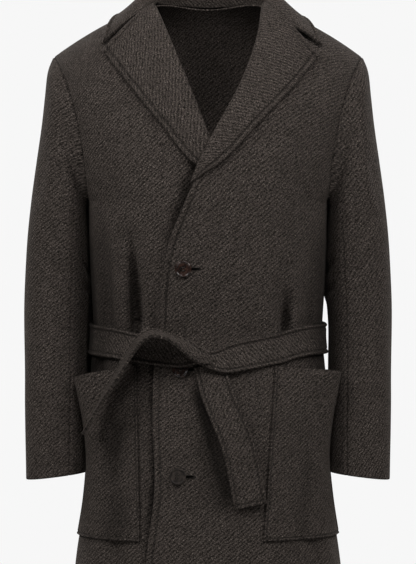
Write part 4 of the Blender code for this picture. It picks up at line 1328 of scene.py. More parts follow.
@dataclass
class LapelsAndCollar:
    """Lapels that curl round the fronts' roll edges, and the collar that lies round the neck."""

    lapel_rows: int = 84
    lapel_columns: int = 56
    lapel_length: float = 0.3
    lapel_width: float = 0.1
    puff: float = 0.004
    gorge_bow: float = 0.0005
    bow_from: float = 0.6
    over_notch: float = 0.55
    under_notch: float = 0.32
    over_turn: float = radians(-9)
    under_turn: float = radians(11)
    over_tip: tuple[float, float] = (0.178, -0.0735)
    under_tip: tuple[float, float] = (-0.165, -0.0707)
    tip_off: float = 0.0064
    gorge_gap: float = 0.0005
    notch_bulge: float = 0.0025
    gorge_reach: float = 0.065
    roll_ease: float = 0.0014
    roll_steps: int = 9
    collar_rows: int = 150
    collar_columns: int = 46
    collar_length: float = 0.56
    collar_width: float = 0.1
    collar_shift: float = 0.006
    neck_middle: tuple[float, ...] = (0.0, 0.0, -0.35)
    notch_fade: float = 0.05
    sewn_fade: tuple[float, float] = (0.001, 0.004)

    def lapel(self, over: bool) -> ClothPiece:
        """A lapel: rows run up the roll line, columns from inside the roll to the outer edge.

        Args:
            over: whether it is the left lapel, on the upper front.

        Returns:
            The piece.
        """
        lapel, front = (OVER_LAPEL, OVER_EDGE) if over else (UNDER_LAPEL, UNDER_EDGE)
        at = spaced(self.lapel_rows, self.lapel_length, TURNED, LAPEL_EDGE)
        roll_z = by_share(lapel, "roll_height", at)[:, None]
        roll_x = by_height(front, "x", roll_z)
        edge_x = by_share(lapel, "edge_x", at)[:, None]
        edge_z = by_share(lapel, "edge_height", at)[:, None]
        u = spaced(self.lapel_columns, self.lapel_width, SEAM, LAPEL_EDGE)[None, 3:]
        u = (u - u[:, :1]) / (1 - u[:, :1])
        x = roll_x + (edge_x - roll_x) * u
        bow = self.gorge_bow * smoothstep(self.bow_from, 1.0, at)[:, None]
        z = roll_z + (edge_z - roll_z) * u + bow * 4 * u * (1 - u)
        angles, levels = FORM.front_place(x, z)
        radius = CLOTH / 2 + LAY_GAP + self.roll_ease + TURNED_CLOTH / 2
        puff = self.puff * at[:, None] * np.sin(pi * u)
        out = radius + puff + (wrap_lift(x, z) if over else 0.0)
        flat = FORM.off(angles, levels, out)
        normal = FORM.normal(angles[:, 0], levels[:, 0])
        inward = unit(flat[:, 0] - flat[:, 8])
        turns = np.linspace(pi / 2, 0.0, self.roll_steps)[:-1]
        curl = (
            flat[:, :1]
            + inward[:, None] * (radius * np.sin(turns))[None, :, None]
            - normal[:, None] * (radius * (1 - np.cos(turns)))[None, :, None]
        )
        points = np.concatenate([curl, flat], axis=1)
        across = run_length(points, 1)
        along = run_length(points, 0)
        v = np.repeat(along.mean(axis=1)[:, None], across.shape[1], axis=1)
        roll_facing = np.repeat(normal[:, None], len(turns), axis=1)
        facing = np.concatenate([roll_facing, FORM.normal(angles, levels)], axis=1)
        top = across[-1] - across[-1, len(turns)]
        notch = self.over_notch if over else self.under_notch
        sewn = 1 - smoothstep(notch, notch + self.notch_fade, top / top[-1])
        return ClothPiece(
            node="lapel_left" if over else "lapel_right",
            middle=points,
            grain=turned(
                np.stack([(across - across[:, -1:]) * (1 if over else -1), v], axis=-1),
                self.over_turn if over else self.under_turn,
            ),
            thickness=TURNED_CLOTH,
            edges=edged(TURNED, LAPEL_EDGE, SEAM, LAPEL_EDGE),
            facing=facing,
            held=Held.FOLDED,
            rests_on=("front_left_cloth" if over else "front_right_cloth",),
            seamed={Side.LAST_ROW: sewn},
        )

    def gorge(self, lapel: ClothPiece, over: bool, shares: Array) -> tuple[Array, Array]:
        """Line of a collar's end: along the lapel's top edge to the notch, then to the collar's tip.

        Args:
            lapel: the lapel on that side.
            over: whether it is the left one.
            shares: shares of the line at which its points are wanted.

        Returns:
            The points, and the share to which each is sewn to the lapel.
        """
        run = run_length(lapel.middle[-1], 0)
        roll = run[self.roll_steps - 1]
        notch = roll + (run[-1] - roll) * (self.over_notch if over else self.under_notch)
        upward = unit(lapel.middle[-1] - lapel.middle[-5])
        sewn = (lapel.middle[-1] + upward * self.gorge_gap)[run <= notch]
        x, height = (np.array(value) for value in (self.over_tip if over else self.under_tip))
        angle, level = FORM.front_place(x, height)
        tip = FORM.off(angle, level, self.tip_off)
        ahead = np.linspace(0, 1, 14)[1:, None]
        free = sewn[-1] + (tip - sewn[-1]) * ahead
        free = free + FORM.normal(angle, level) * self.notch_bulge * np.sin(pi * ahead)
        line = np.concatenate([sewn, free])
        length = run_length(line, 0)
        at = shares * length[-1]
        edge = length[len(sewn) - 1]
        before, after = self.sewn_fade
        return on_line(at, length, line), 1 - smoothstep(edge - before, edge + after, at)

    def collar(self, over_lapel: ClothPiece, under_lapel: ClothPiece) -> ClothPiece:
        """The collar: cubic sections through seam, crest, fall and edge, carried round the neck.

        Args:
            over_lapel: the left lapel, which its last row meets.
            under_lapel: the right lapel, which its first row meets.

        Returns:
            The piece.
        """
        both = COLLAR + COLLAR[-2::-1]
        sides = np.array([-1] * (len(COLLAR) - 1) + [0] + [1] * (len(COLLAR) - 1))
        share = np.linspace(0, 1, len(both))
        at = spaced(self.collar_rows, self.collar_length, LAPEL_EDGE, LAPEL_EDGE)
        shift = self.collar_shift * np.abs(np.linspace(-1, 1, len(both)))
        controls = []
        for name in ("seam", "crest", "fall", "edge"):
            x = np.array(column(both, name + "_x")) * sides + shift
            turn = np.radians(column(both, name + "_turn"))
            points = FORM.on_dome(x, turn, np.array(column(both, name + "_off")))
            controls.append(spline(share, points, at)[:, None, :])
        t = spaced(self.collar_columns, self.collar_width, ARMHOLE, LAPEL_EDGE)[None, :, None]
        seam, crest, fall, edge = controls
        points = (
            seam * (1 - t) * (1 - 1.5 * t) * (1 - 3 * t)
            + crest * 9 * t * (1 - t) * (1 - 1.5 * t)
            + fall * 4.5 * t * (1 - t) * (3 * t - 1)
            + edge * t * (1.5 * t - 1) * (3 * t - 1)
        )
        ends = {Side.FIRST_ROW: (under_lapel, False, at), Side.LAST_ROW: (over_lapel, True, 1 - at)}
        sewn = {}
        for side, (lapel, over, share) in ends.items():
            line, sewn[side] = self.gorge(lapel, over, t[0, :, 0])
            near = 1 - smoothstep(0.0, self.gorge_reach, share * self.collar_length)
            points = points + near[:, None, None] * (line - points[-1 if over else 0])
        along = run_length(points, 0).mean(axis=1)
        u = np.repeat((along - along[-1] / 2)[:, None], points.shape[1], axis=1)
        grain = np.stack([u, -run_length(points, 1)], axis=-1)
        return ClothPiece(
            node="collar", middle=points, grain=grain, thickness=TURNED_CLOTH,
            edges=edged(LAPEL_EDGE, LAPEL_EDGE, ARMHOLE, LAPEL_EDGE),
            facing=unit(points - np.array(self.neck_middle)), held=Held.FOLDED,
            rests_on=("back_cloth", "lapel_left_cloth", "lapel_right_cloth"), seamed=sewn,
        )

    def pieces(self) -> list[ClothPiece]:
        """The lapels and the collar."""
        lapels = [self.lapel(over=True), self.lapel(over=False)]
        return lapels + [self.collar(*lapels)]


# Patch pockets


@dataclass
class PatchPocket:
    """A large patch pocket whose mouth gapes towards the side."""

    node: str
    side: int
    mouth_x: float
    foot_x: float
    mouth_inner: float
    mouth_outer: float
    foot_height: float
    creases: tuple[Crease, ...]
    outer_turn: float = radians(9)
    gape: float = 0.03
    gape_power: float = 2.4
    gape_lean: float = 1.9
    rows: int = 64
    columns: int = 70
    height: float = 0.26
    width: float = 0.19
    unevenness: float = 0.0007

    def piece(self) -> ClothPiece:
        """The pocket, from foot to mouth and from its inner edge to the side."""
        q = spaced(self.columns, self.width, POCKET_EDGE, POCKET_EDGE)[None, :]
        r = spaced(self.rows, self.height, POCKET_EDGE, TURNED)[:, None]
        mouth = self.mouth_inner + (self.mouth_outer - self.mouth_inner) * q
        height = self.foot_height + (mouth - self.foot_height) * r
        level = FORM.level_of(height)
        inner_x = self.foot_x + (self.mouth_x - self.foot_x) * r + 0 * q
        inner = FORM.front_angle(inner_x, level)
        angle = inner + (self.outer_turn - inner) * q
        if self.side < 0:
            angle = pi - angle
        gape = self.gape * np.sin(pi * q**self.gape_lean) * r**self.gape_power
        plain = FORM.point(angle, level)
        lift = wrap_lift(plain[..., 0], height) if self.side > 0 else 0.0
        uneven = drape(plain, self.unevenness)
        points = FORM.off(angle, level, CLOTH + POCKET_GAP + gape + lift + uneven)
        u = (inner_x + run_length(plain, 1)) * self.side
        return ClothPiece(
            node=self.node, middle=points, grain=np.stack([u, height], axis=-1), thickness=CLOTH,
            edges=edged(POCKET_EDGE, TURNED, POCKET_EDGE, POCKET_EDGE), facing=FORM.normal(angle, level),
            held=Held.LAID, rests_on=("front_left_cloth" if self.side > 0 else "front_right_cloth",),
            creases=self.creases,
        )


# The tenth values of the pocket's creases are painted shade along their troughs.
LEFT_POCKET = PatchPocket(
    "pocket_left", 1, 0.1015, 0.083, -0.572, -0.59, -0.842,
    creases=creases_mm(
        (190, -640, 175, -800, -3, 16, 20, 0.5, 0.4), (166, -680, 150, -850, 1.6, 12, 16, 0.4, 0, 0.25),
        (130, -600, 125, -700, -1.6, 18, 18, 0.3, 0.6),
    ),
)
# The tenth values of the pocket's creases are painted shade along their troughs.
RIGHT_POCKET = PatchPocket(
    "pocket_right", -1, 0.1085, 0.1035, -0.571, -0.602, -0.843,
    creases=creases_mm(
        (-185, -660, -190, -800, -3, 20, 16, 0.4, 0.5),
        (-136, -630, -162, -790, 2.2, 18, 20, 0.3, 0.3, 0.38),
        (-142, -740, -148, -850, 1.4, 24, 24, 0.4, 0, 0.42),
    ),
)


# Belt


@dataclass
class ClothBelt:
    """The tied belt: a stretch round the back, two in front, the looped end and the hanging end."""

    rows_each: int = 130
    columns: int = 22
    plain_width: float = 0.016
    stitched_width: float = 0.034
    back_length: float = 0.55
    band_length: float = 0.25
    loop_length: float = 0.34
    hanging_length: float = 0.26
    # Its tenth value is painted shade: the shadow under the looped end where it crosses the band.
    tie_crease: tuple[float, ...] = (-18.5, -8, -6.5, -46, 2.2, 2.2, 3, 0, 0.6, 0.8)

    def shares(self, length: float) -> Array:
        """Shares along a stretch."""
        return spaced(self.rows_each, length, TURNED, BELT_EDGE)

    def widths(self) -> Array:
        """Shares across the belt, from -0.5 to 0.5."""
        return spaced(self.columns, BELT_WIDTH, BELT_EDGE, BELT_EDGE) - 0.5

    def piece(
        self,
        node: str,
        points: Array,
        facing: Array,
        rests_on: tuple[str, ...],
        cut_end: bool = False,
        width: Array | None = None,
        shade: Array | float = 0.0,
    ) -> ClothPiece:
        """A stretch as a cloth piece.

        Args:
            node: the solid that it stands for.
            points: its middle surface, rows along the belt.
            facing: outward directions.
            rests_on: what it lies on.
            cut_end: whether its last row is the belt's own stitched end.
            width: width of each row, where the tie draws it in and hides its stitching.
            shade: painted shadow of the arms: how much darker each row is painted near them.

        Returns:
            The piece.
        """
        along = run_length(points, 0).mean(axis=1)
        across = run_length(points, 1)
        v = np.repeat(along[:, None], points.shape[1], axis=1)
        fade = None if width is None else smoothstep(self.plain_width, self.stitched_width, width)[:, None]
        end = float(along[-1])
        (tied,) = creases_mm(self.tie_crease)
        tied = tied._replace(v_start=end + tied.v_start, v_end=end + tied.v_end)
        made = ClothPiece(
            node=node, middle=points, grain=np.stack([across - BELT_WIDTH / 2, v], axis=-1),
            thickness=TURNED_CLOTH, creases=(tied,) if node == "belt_front_left" else (), stitch_fade=fade,
            arm_shade=shade, edges=edged(SEAM, BELT_EDGE if cut_end else SEAM, BELT_EDGE, BELT_EDGE),
            facing=facing, held=Held.LAID, rests_on=rests_on,
        )
        right_hand = np.cross(np.gradient(points, axis=0), made.normals)
        if (right_hand * np.gradient(points, axis=1)).sum() < 0:
            made.grain = made.grain * np.array([-1, 1])
        return made

    def band(self, angle: Array, height: Array, out: Array, width: Array) -> tuple[Array, Array]:
        """A stretch on the body.

        Args:
            angle: angles along it.
            height: heights of its middle line.
            out: distances off the form.
            width: widths that show.

        Returns:
            Its points and outward directions.
        """
        rise = self.widths()[None, :] * width[:, None]
        angles = angle[:, None] + 0 * rise
        levels = FORM.level_of(height[:, None] + rise)
        return FORM.off(angles, levels, out[:, None] + 0 * rise), FORM.normal(angles, levels)

    def front_band(self, node: str, rows: Sequence[BandRow], side: int) -> ClothPiece:
        """A stretch from the side of the body to the crossing."""
        at = self.shares(self.band_length)
        side_x = FORM.point(np.array(SEAM_GAP / FORM.armpit_half), FORM.level_of(SIDE_BELT_HEIGHT))[0] * side
        x_rows = np.array([side_x] + column(rows, "x"))
        height_rows = np.array([SIDE_BELT_HEIGHT] + column(rows, "height"))
        angle_rows = FORM.front_angle(x_rows, FORM.level_of(height_rows))
        share = np.linspace(0, 1, len(x_rows))
        width = spline(share, [BELT_WIDTH] + column(rows, "width"), at)
        points, facing = self.band(
            spline(share, angle_rows, at), spline(share, height_rows, at),
            spline(share, [BELT_OUT] + column(rows, "out"), at), width,
        )
        # Painted shadow of the arm on the band's end at the side.
        shade = (LEFT_ARM_SHADE if side > 0 else RIGHT_ARM_SHADE).at(run_length(points, 0))
        rests_on = ("front_left_cloth", "front_right_cloth")
        return self.piece(node, points, facing, rests_on, width=width, shade=shade)

    def back_band(self) -> ClothPiece:
        """The stretch round the back, from side to side."""
        gap = SEAM_GAP / FORM.armpit_half
        share = spaced(2 * self.rows_each, self.back_length, SEAM, SEAM)
        angle = pi + gap + (pi - 2 * gap) * share
        height = SIDE_BELT_HEIGHT - (BACK_BELT_HEIGHT - SIDE_BELT_HEIGHT) * np.sin(angle)
        points, facing = self.band(
            angle, height, np.full_like(angle, BELT_OUT), np.full_like(angle, BELT_WIDTH)
        )
        along = run_length(points, 0)
        # Painted shadow of the arms on both ends at the sides.
        shade = BACK_ARM_SHADE.at(np.minimum(along, along[-1:] - along))
        return self.piece("belt_back", points, facing, ("back_cloth",), shade=shade)

    def looped_end(self) -> ClothPiece:
        """The end that arches over the crossing and falls edge-on; its width turns as it goes."""
        at = self.shares(self.loop_length)
        path = np.stack([by_share(TAIL_OVER, name, at) for name in "xyz"], axis=-1)
        turn = np.radians(by_share(TAIL_OVER, "turn", at))[:, None]
        width = by_share(TAIL_OVER, "width", at)
        along = unit(np.gradient(path, at, axis=0))
        upright = unit(np.stack([along[:, 2], 0 * along[:, 1], -along[:, 0]], axis=-1))
        depth = unit(np.cross(upright, along))
        depth = depth * np.sign(depth[:, 1:2])
        aside = upright * np.cos(turn) + depth * np.sin(turn)
        points = path[:, None] + (self.widths()[None, :] * width[:, None])[..., None] * aside[:, None]
        facing = np.cross(along, aside)
        facing = facing * np.sign(facing[:1, 1:2]) * -1
        grid = np.repeat(facing[:, None], points.shape[1], axis=1)
        return self.piece("belt_tail_over", points, grid, ("belt_front_left_cloth",), True, width)

    def hanging_end(self) -> ClothPiece:
        """The end that hangs down the front from under the crossing."""
        at = self.shares(self.hanging_length)
        x, z, out = (by_share(TAIL_UNDER, name, at) for name in ("x", "height", "out"))
        along = unit(np.stack([np.gradient(x, at), np.gradient(z, at)], axis=-1))
        step = self.widths()[None, :] * BELT_WIDTH
        angle, level = FORM.front_place(x[:, None] - along[:, 1:2] * step, z[:, None] + along[:, 0:1] * step)
        points = FORM.off(angle, level, out[:, None] + 0 * step)
        return self.piece("belt_tail_under", points, FORM.normal(angle, level), ("front_left_cloth",), True)

    def pieces(self) -> list[ClothPiece]:
        """The five stretches."""
        return [
            self.back_band(), self.front_band("belt_front_left", BAND_LEFT, 1),
            self.front_band("belt_front_right", BAND_RIGHT, -1), self.looped_end(), self.hanging_end(),
        ]


# Buttons and buttonholes


@dataclass
class HornButton:
    """A dished four-hole button, sewn on with thread, at a place of the upper front."""

    number: int
    x: float
    height: float
    radius: float = 0.013
    thick: float = 0.0042
    rim: float = 0.003
    dish: float = 0.0012
    hole_reach: float = 0.0023
    hole_radius: float = 0.00115
    hole_depth: float = 0.0024
    hole_edge: tuple[float, float] = (0.7, 1.15)
    thread_radius: float = 0.00055
    strand_share: float = 0.6
    thread_sunk: float = 0.0012
    thread_rise: float = 0.0017

    def seat(self) -> tuple[Array, Array]:
        """Where the button lies.

        Returns:
            Its place, and its right, up and outward directions as columns.
        """
        x, height = np.array(self.x), np.array(self.height)
        angle, level = FORM.front_place(x, height)
        out = wrap_lift(x, height) + CLOTH / 2 + SEAM_GAP
        facing = FORM.normal(angle, level)
        right = unit(np.cross(np.array([0.0, 0.0, 1.0]), facing))
        return FORM.off(angle, level, out), np.stack([right, np.cross(facing, right), facing], axis=-1)

    def profile(self) -> tuple[Array, Array]:
        """Radius and height round the half section, from the top's middle to the bottom's."""
        rim = self.radius - self.rim
        corners = np.array([
            (0.0, self.thick - self.dish), (0.6 * rim, self.thick - self.dish),
            (rim, self.thick - 0.9 * self.dish), (rim + 0.25 * self.rim, self.thick - 0.25 * self.dish),
            (rim + 0.42 * self.rim, self.thick),
            (self.radius - 0.3 * self.rim, self.thick - 0.42 * self.dish),
            (self.radius - 0.08 * self.rim, 0.7 * self.thick),
            (self.radius, 0.45 * self.thick), (self.radius - 0.2 * self.rim, 0.1 * self.thick),
            (rim, 0.0), (0.0, 0.0),
        ])
        knots = np.concatenate([[0.0], np.cumsum(np.linalg.norm(np.diff(corners, axis=0), axis=1))])
        at = np.concatenate([np.linspace(0, knots[1], 30)[:-1], np.linspace(knots[1], knots[-1], 46)])
        smooth = spline(knots, corners, at)
        return np.maximum(smooth[:, 0], 0.0), np.clip(smooth[:, 1], 0.0, self.thick)

    def build(self, horn: Material, thread: Material) -> None:
        """Turn the profile, sink four holes in it and sew it on."""
        place, axes = self.seat()
        radius, height = self.profile()
        turn = round_turns(96)
        x = radius[:, None] * np.cos(turn)
        y = radius[:, None] * np.sin(turn)
        top = (np.arange(len(radius)) < len(radius) * 0.6)[:, None]
        to_hole = np.hypot(np.abs(x) - self.hole_reach, np.abs(y) - self.hole_reach)
        sunk = self.hole_depth * (1 - smoothstep(*self.hole_edge, to_hole / self.hole_radius))
        z = height[:, None] - np.where(top, sunk, 0.0)
        points = np.stack([x, y, z], axis=-1)
        vertices, faces = tubes(points[None, -2:0:-1])
        name = f"button_{self.number}"
        add_piece(f"horn_{name}", vertices @ axes.T + place, faces, horn, "horn", name)
        self.sew(place, axes, thread)
        log.info("%s at height %.3f m", name, self.height)

    def sew(self, place: Array, axes: Array, thread: Material) -> None:
        """Two bars of thread between the holes: half rings of a round section."""
        along = np.linspace(0, pi, 17)
        around = round_turns(10)
        x = -self.hole_reach * np.cos(along)[:, None] + 0 * around
        rise = self.thick - self.dish - self.thread_sunk + self.thread_rise * np.sin(along) ** 0.5
        z = rise[:, None] + self.thread_radius * np.sin(around)
        strands = []
        for row in (-self.hole_reach, self.hole_reach):
            for strand in (-self.strand_share, self.strand_share):
                y = row + self.thread_radius * (strand + np.cos(around)) + 0 * x
                strands.append(np.stack([x, y, z], axis=-1))
        vertices, faces = tubes(np.array(strands))
        add_piece(f"button_thread_{self.number}", vertices @ axes.T + place, faces, thread, "twill")


def tubes(rings: Array) -> tuple[Array, Index]:
    """Closed tubes from rings of points, each end closed by faces across its ring.

    Args:
        rings: points by tube, ring, place on the ring, and axis.

    Returns:
        The vertices and the four-cornered faces.
    """
    count, length, around = rings.shape[:3]
    index = np.arange(count * length * around).reshape(count, length, around)
    sides = np.concatenate([grid_faces(one, False) for one in closed(index, 2)])
    half = around // 2
    caps = []
    for end, flip in ((0, False), (length - 1, True)):
        ring = index[:, end]
        for step in range(half - 1):
            corner = ring[:, [step, step + 1, around - 2 - step, around - 1 - step]]
            caps.append(corner[:, ::-1] if flip else corner)
    return rings.reshape(-1, 3), np.concatenate([sides, *caps])


@dataclass
class Buttonhole:
    """A worked buttonhole: a bead of thread round a slit, running in from the button."""

    number: int
    x: float
    height: float
    length: float = 0.029
    slit: float = 0.0013
    bead: float = 0.0013
    under_button: float = 0.003
    ribs: int = 60
    rib_height: float = 0.18
    loop_ends: float = 1.4
    bead_rise: float = 0.0001
    slit_rise: float = 0.0006
    slit_bulge: float = 0.0004
    unevenness: float = 0.0007

    def laid(self, x: Array, z: Array, rise: Array) -> Array:
        """Points on the upper front, x along the slit and z across it, raised off the cloth."""
        x = self.x + self.length / 2 - self.under_button + x
        z = self.height + z
        angle, level = FORM.front_place(x, z)
        uneven = drape(FORM.point(angle, level), self.unevenness)
        return FORM.off(angle, level, wrap_lift(x, z) + uneven + CLOTH / 2 + rise)

    def build(self, thread: Material, slit_shadow_finish: Material) -> None:
        """Carry a half-round section along a long loop that lies on the upper front.

        Args:
            thread: finish of the bead.
            slit_shadow_finish: finish of the dark lens in the slit, the slit's painted shadow.
        """
        turn = round_turns(120)
        ridge = round_turns(12)
        centre = self.slit + self.bead / 2
        straight = self.length / 2 - centre
        loop_x = straight * np.clip(np.cos(turn) * self.loop_ends, -1, 1) + centre * np.cos(turn)
        loop_z = centre * np.sin(turn)
        side = np.stack([np.cos(turn), np.sin(turn)], axis=-1)
        swell = self.bead / 2 * np.cos(ridge)
        ribbed = 1 + self.rib_height * np.cos(turn * self.ribs)[:, None]
        rise = self.bead / 2 * np.sin(ridge) * ribbed + self.bead_rise
        points = self.laid(loop_x[:, None] + side[:, :1] * swell, loop_z[:, None] + side[:, 1:] * swell, rise)
        index = np.arange(points.shape[0] * points.shape[1]).reshape(points.shape[:2])
        faces = grid_faces(closed(closed(index, 0), 1), True)
        add_piece(f"buttonhole_{self.number}", points.reshape(-1, 3), faces, thread, "twill")
        self.build_slit_shadow(straight, centre, slit_shadow_finish)
        log.info("buttonhole_%d", self.number)

    def build_slit_shadow(self, straight: float, centre: float, finish: Material) -> None:
        """A dark lens filling the slit, a little lower than the bead round it: the slit's painted shadow."""
        along = np.linspace(-1, 1, 33)
        around = round_turns(12)
        reach = np.sqrt(np.maximum(1 - along**2, 0.0004))[:, None]
        x = (straight + centre / 2) * along[:, None] + 0 * around
        z = centre * reach * np.cos(around)
        rise = self.slit_rise + self.slit_bulge * reach * np.sin(around)
        vertices, faces = tubes(self.laid(x, z, rise)[None])
        add_piece(f"buttonhole_slit_shadow_{self.number}", vertices, faces, finish, "twill")


# Stitching


@dataclass
class Topstitching:
    """Rows of short thread stitches, half sunk in the grooves along the finished edges."""

    pitch: float = 0.005
    length: float = 0.0037
    radius: float = 0.00042
    around: int = 6
    rise: float = 0.4

    def stitches(self, line: Array, normals: Array, top: float | None = None) -> Array:
        """Rings of the stitches along a line.

        Args:
            line: points along the stitching.
            normals: outward directions there.
            top: height above which nothing is stitched.

        Returns:
            Points by stitch, ring, place on the ring, and axis.
        """
        run = run_length(line, 0)
        starts = np.arange(self.pitch, run[-1] - self.pitch, self.pitch)
        share = np.array((0.0, 0.12, 0.5, 0.88, 1.0))
        swell = np.array((0.25, 0.85, 1.0, 0.85, 0.25))
        at = starts[:, None] + self.length * share
        points = on_line(at, run, line)
        normal = unit(on_line(at, run, normals))
        along = unit(points[:, -1:] - points[:, :1])
        aside = unit(np.cross(np.broadcast_to(along, normal.shape), normal))
        turn = round_turns(self.around)
        round_it = (
            aside[:, :, None] * np.cos(turn)[:, None] + normal[:, :, None] * np.sin(turn)[:, None]
        ) * (self.radius * swell)[None, :, None, None]
        rings = points[:, :, None] + normal[:, :, None] * self.radius * self.rise + round_it
        return rings if top is None else rings[points[:, 2, 2] < top]

    def build(self, name: str, rows: list[Array], thread: Material) -> None:
        """Make one piece of many stitches."""
        vertices, faces = tubes(np.concatenate(rows))
        add_piece(name, vertices, faces, thread, "twill")
        log.info("%s: %d stitches", name, sum(len(row) for row in rows))


# Finishes


class NodeSheet:
    """A material's nodes, with short calls for the kinds that the finishes use."""

    def __init__(self, name: str) -> None:
        """Start a material with one shader."""
        self.material = bpy.data.materials.new(name)
        self.material.use_nodes = True
        self.tree = self.material.node_tree
        self.shader = self.tree.nodes["Principled BSDF"]

    def dress(self, **values: object) -> None:
        """Put values on the shader's own sockets, whose names have spaces for underscores."""
        for name, value in values.items():
            self.put(self.shader.inputs[name.replace("_", " ")], value)

    def total(self, *terms: tuple[object, float]) -> Socket:
        """Sum of values, each times its weight."""
        whole = self.math("MULTIPLY", *terms[0])
        for term in terms[1:]:
            whole = self.math("ADD", whole, self.math("MULTIPLY", *term))
        return whole

    def put(self, socket: Socket, value: object) -> None:
        """Link a socket to another, or set its value."""
        if isinstance(value, Socket):
            self.tree.links.new(value, socket)
        else:
            socket.default_value = value

    def node(
        self, kind: str, inputs: dict[str | int, object], output: str | int = 0, **settings: str
    ) -> Socket:
        """Add a node.

        Args:
            kind: its kind, without the words that all kinds begin with.
            inputs: values or sockets, by the input's name or number.
            output: which output is wanted.
            settings: the node's own settings.

        Returns:
            The output.
        """
        node = self.tree.nodes.new("ShaderNode" + kind)
        for name, setting in settings.items():
            setattr(node, name, setting)
        for name, value in inputs.items():
            self.put(node.inputs[name], value)
        return node.outputs[output]

    def math(self, operation: str, first: object, second: object = 0.0) -> Socket:
        """One sum on two values."""
        return self.node("Math", {0: first, 1: second}, operation=operation)

    def map_range(
        self, value: object, low: float, high: float, to_low: float = 0.0, to_high: float = 1.0
    ) -> Socket:
        """A value carried smoothly from one span to another."""
        spans = {0: value, 1: low, 2: high, 3: to_low, 4: to_high}
        return self.node("MapRange", spans, interpolation_type="SMOOTHSTEP")

    def noise(self, place: object, scale: float, detail: float = 2.0) -> Socket:
        """Even noise between 0 and 1."""
        return self.node("TexNoise", {"Vector": place, "Scale": scale, "Detail": detail}, "Fac")

    def mix(self, share: object, first: object, second: object) -> Socket:
        """A blend of two colours."""
        return self.node("Mix", {"Factor": share, 6: first, 7: second}, 2, data_type="RGBA")

    def place(self, x: object, y: object) -> Socket:
        """A place on a plane."""
        return self.node("CombineXYZ", {0: x, 1: y})

    def bump(self, height: object, distance: float, strength: float) -> None:
        """Raise the surface by a height."""
        relief = {"Height": height, "Distance": distance, "Strength": strength}
        self.dress(Normal=self.node("Bump", relief))

    def coordinates(self, kind: str) -> Socket:
        """Texture coordinates of a kind, such as Object."""
        return self.tree.nodes.new("ShaderNodeTexCoord").outputs[kind]


@dataclass(frozen=True)
class TwillFinish:
    """Heavy wool twill: slanting ribs of dark yarn with lighter flecks, matt and a little hairy.

    The ribs are a cosine across the slant of the cloth's own grain, and each rib is broken into
    floats by a second cosine along it.
    """

    dark: Colour = (0.009, 0.0075, 0.0065, 1.0)
    middle: Colour = (0.0595, 0.0492, 0.043, 1.0)
    fleck: Colour = (0.229, 0.192, 0.168, 1.0)
    # Painted shade: the colour that the cloth is darkened towards where the painted shade attribute is high.
    painted_shade_colour: Colour = (0.0035, 0.003, 0.0026, 1.0)
    hair: Colour = (0.55, 0.47, 0.41, 1.0)
    specular: float = 0.04
    pitch: float = 0.005
    slant: float = radians(41)
    roughness: float = 0.92
    sheen: float = 0.03
    sheen_roughness: float = 0.55
    slow_scale: float = 95.0
    quick_scale: float = 420.0
    hair_scale: float = 2.9
    clump_scale: float = 1.1
    blotch_scale: float = 40.0

    def material(self) -> Material:
        """Make the material."""
        sheet = NodeSheet("wool_twill")
        split = sheet.tree.nodes.new("ShaderNodeSeparateXYZ")
        grain = sheet.coordinates("UV")
        sheet.put(split.inputs[0], grain)
        u, v = split.outputs[0], split.outputs[1]
        cosine, sine = math.cos(self.slant) / self.pitch, math.sin(self.slant) / self.pitch
        across = sheet.total((v, cosine), (u, -sine))
        along = sheet.total((u, cosine), (v, sine))
        slow = sheet.math("SUBTRACT", sheet.noise(grain, self.slow_scale), 0.5)
        quick = sheet.math("SUBTRACT", sheet.noise(grain, self.quick_scale), 0.5)
        waver = sheet.total((slow, 1.5), (quick, 1.7))
        ribs = self.wave(sheet, sheet.math("ADD", across, waver))
        floats = self.wave(sheet, sheet.math("ADD", sheet.total((along, 1.5), (across, 0.5)), waver))
        stretched = sheet.place(sheet.math("MULTIPLY", along, 0.8), across)
        hairs = sheet.noise(stretched, self.hair_scale, 3.0)
        clumps = sheet.math("SUBTRACT", sheet.noise(stretched, self.clump_scale), 0.5)
        blotch = sheet.noise(grain, self.blotch_scale)
        weave = sheet.total((ribs, 0.76), (floats, 0.24))
        depth = sheet.total((weave, 0.38), (hairs, 0.7), (clumps, 0.5))
        yarn = sheet.mix(sheet.map_range(depth, 0.26, 0.78), self.dark, self.middle)
        raised = sheet.map_range(weave, 0.2, 0.8, 0.25, 1.0)
        flecked = sheet.math("MULTIPLY", sheet.map_range(hairs, 0.54, 0.76, 0.0, 0.9), raised)
        cloth = sheet.mix(flecked, yarn, self.fleck)
        shaded = sheet.mix(sheet.map_range(blotch, 0.3, 0.7, 0.0, 0.18), cloth, self.dark)
        # Painted shade: the attribute mixes the cloth towards the painted shade colour.
        seams = sheet.node("Attribute", {}, "Fac", attribute_name=PAINTED_SHADE_LAYER)
        sheet.dress(
            Base_Color=sheet.mix(seams, shaded, self.painted_shade_colour), Roughness=self.roughness,
            Specular_IOR_Level=self.specular, Sheen_Weight=self.sheen, Sheen_Roughness=self.sheen_roughness,
            Sheen_Tint=self.hair,
        )
        sheet.bump(sheet.total((weave, 1.0), (hairs, 0.8)), 0.0008, 0.8)
        return sheet.material

    def wave(self, sheet: NodeSheet, turns: object) -> Socket:
        """A cosine between 0 and 1 over whole turns."""
        swing = sheet.math("COSINE", sheet.math("MULTIPLY", turns, 2 * pi))
        return sheet.math("ADD", sheet.math("MULTIPLY", swing, 0.5), 0.5)


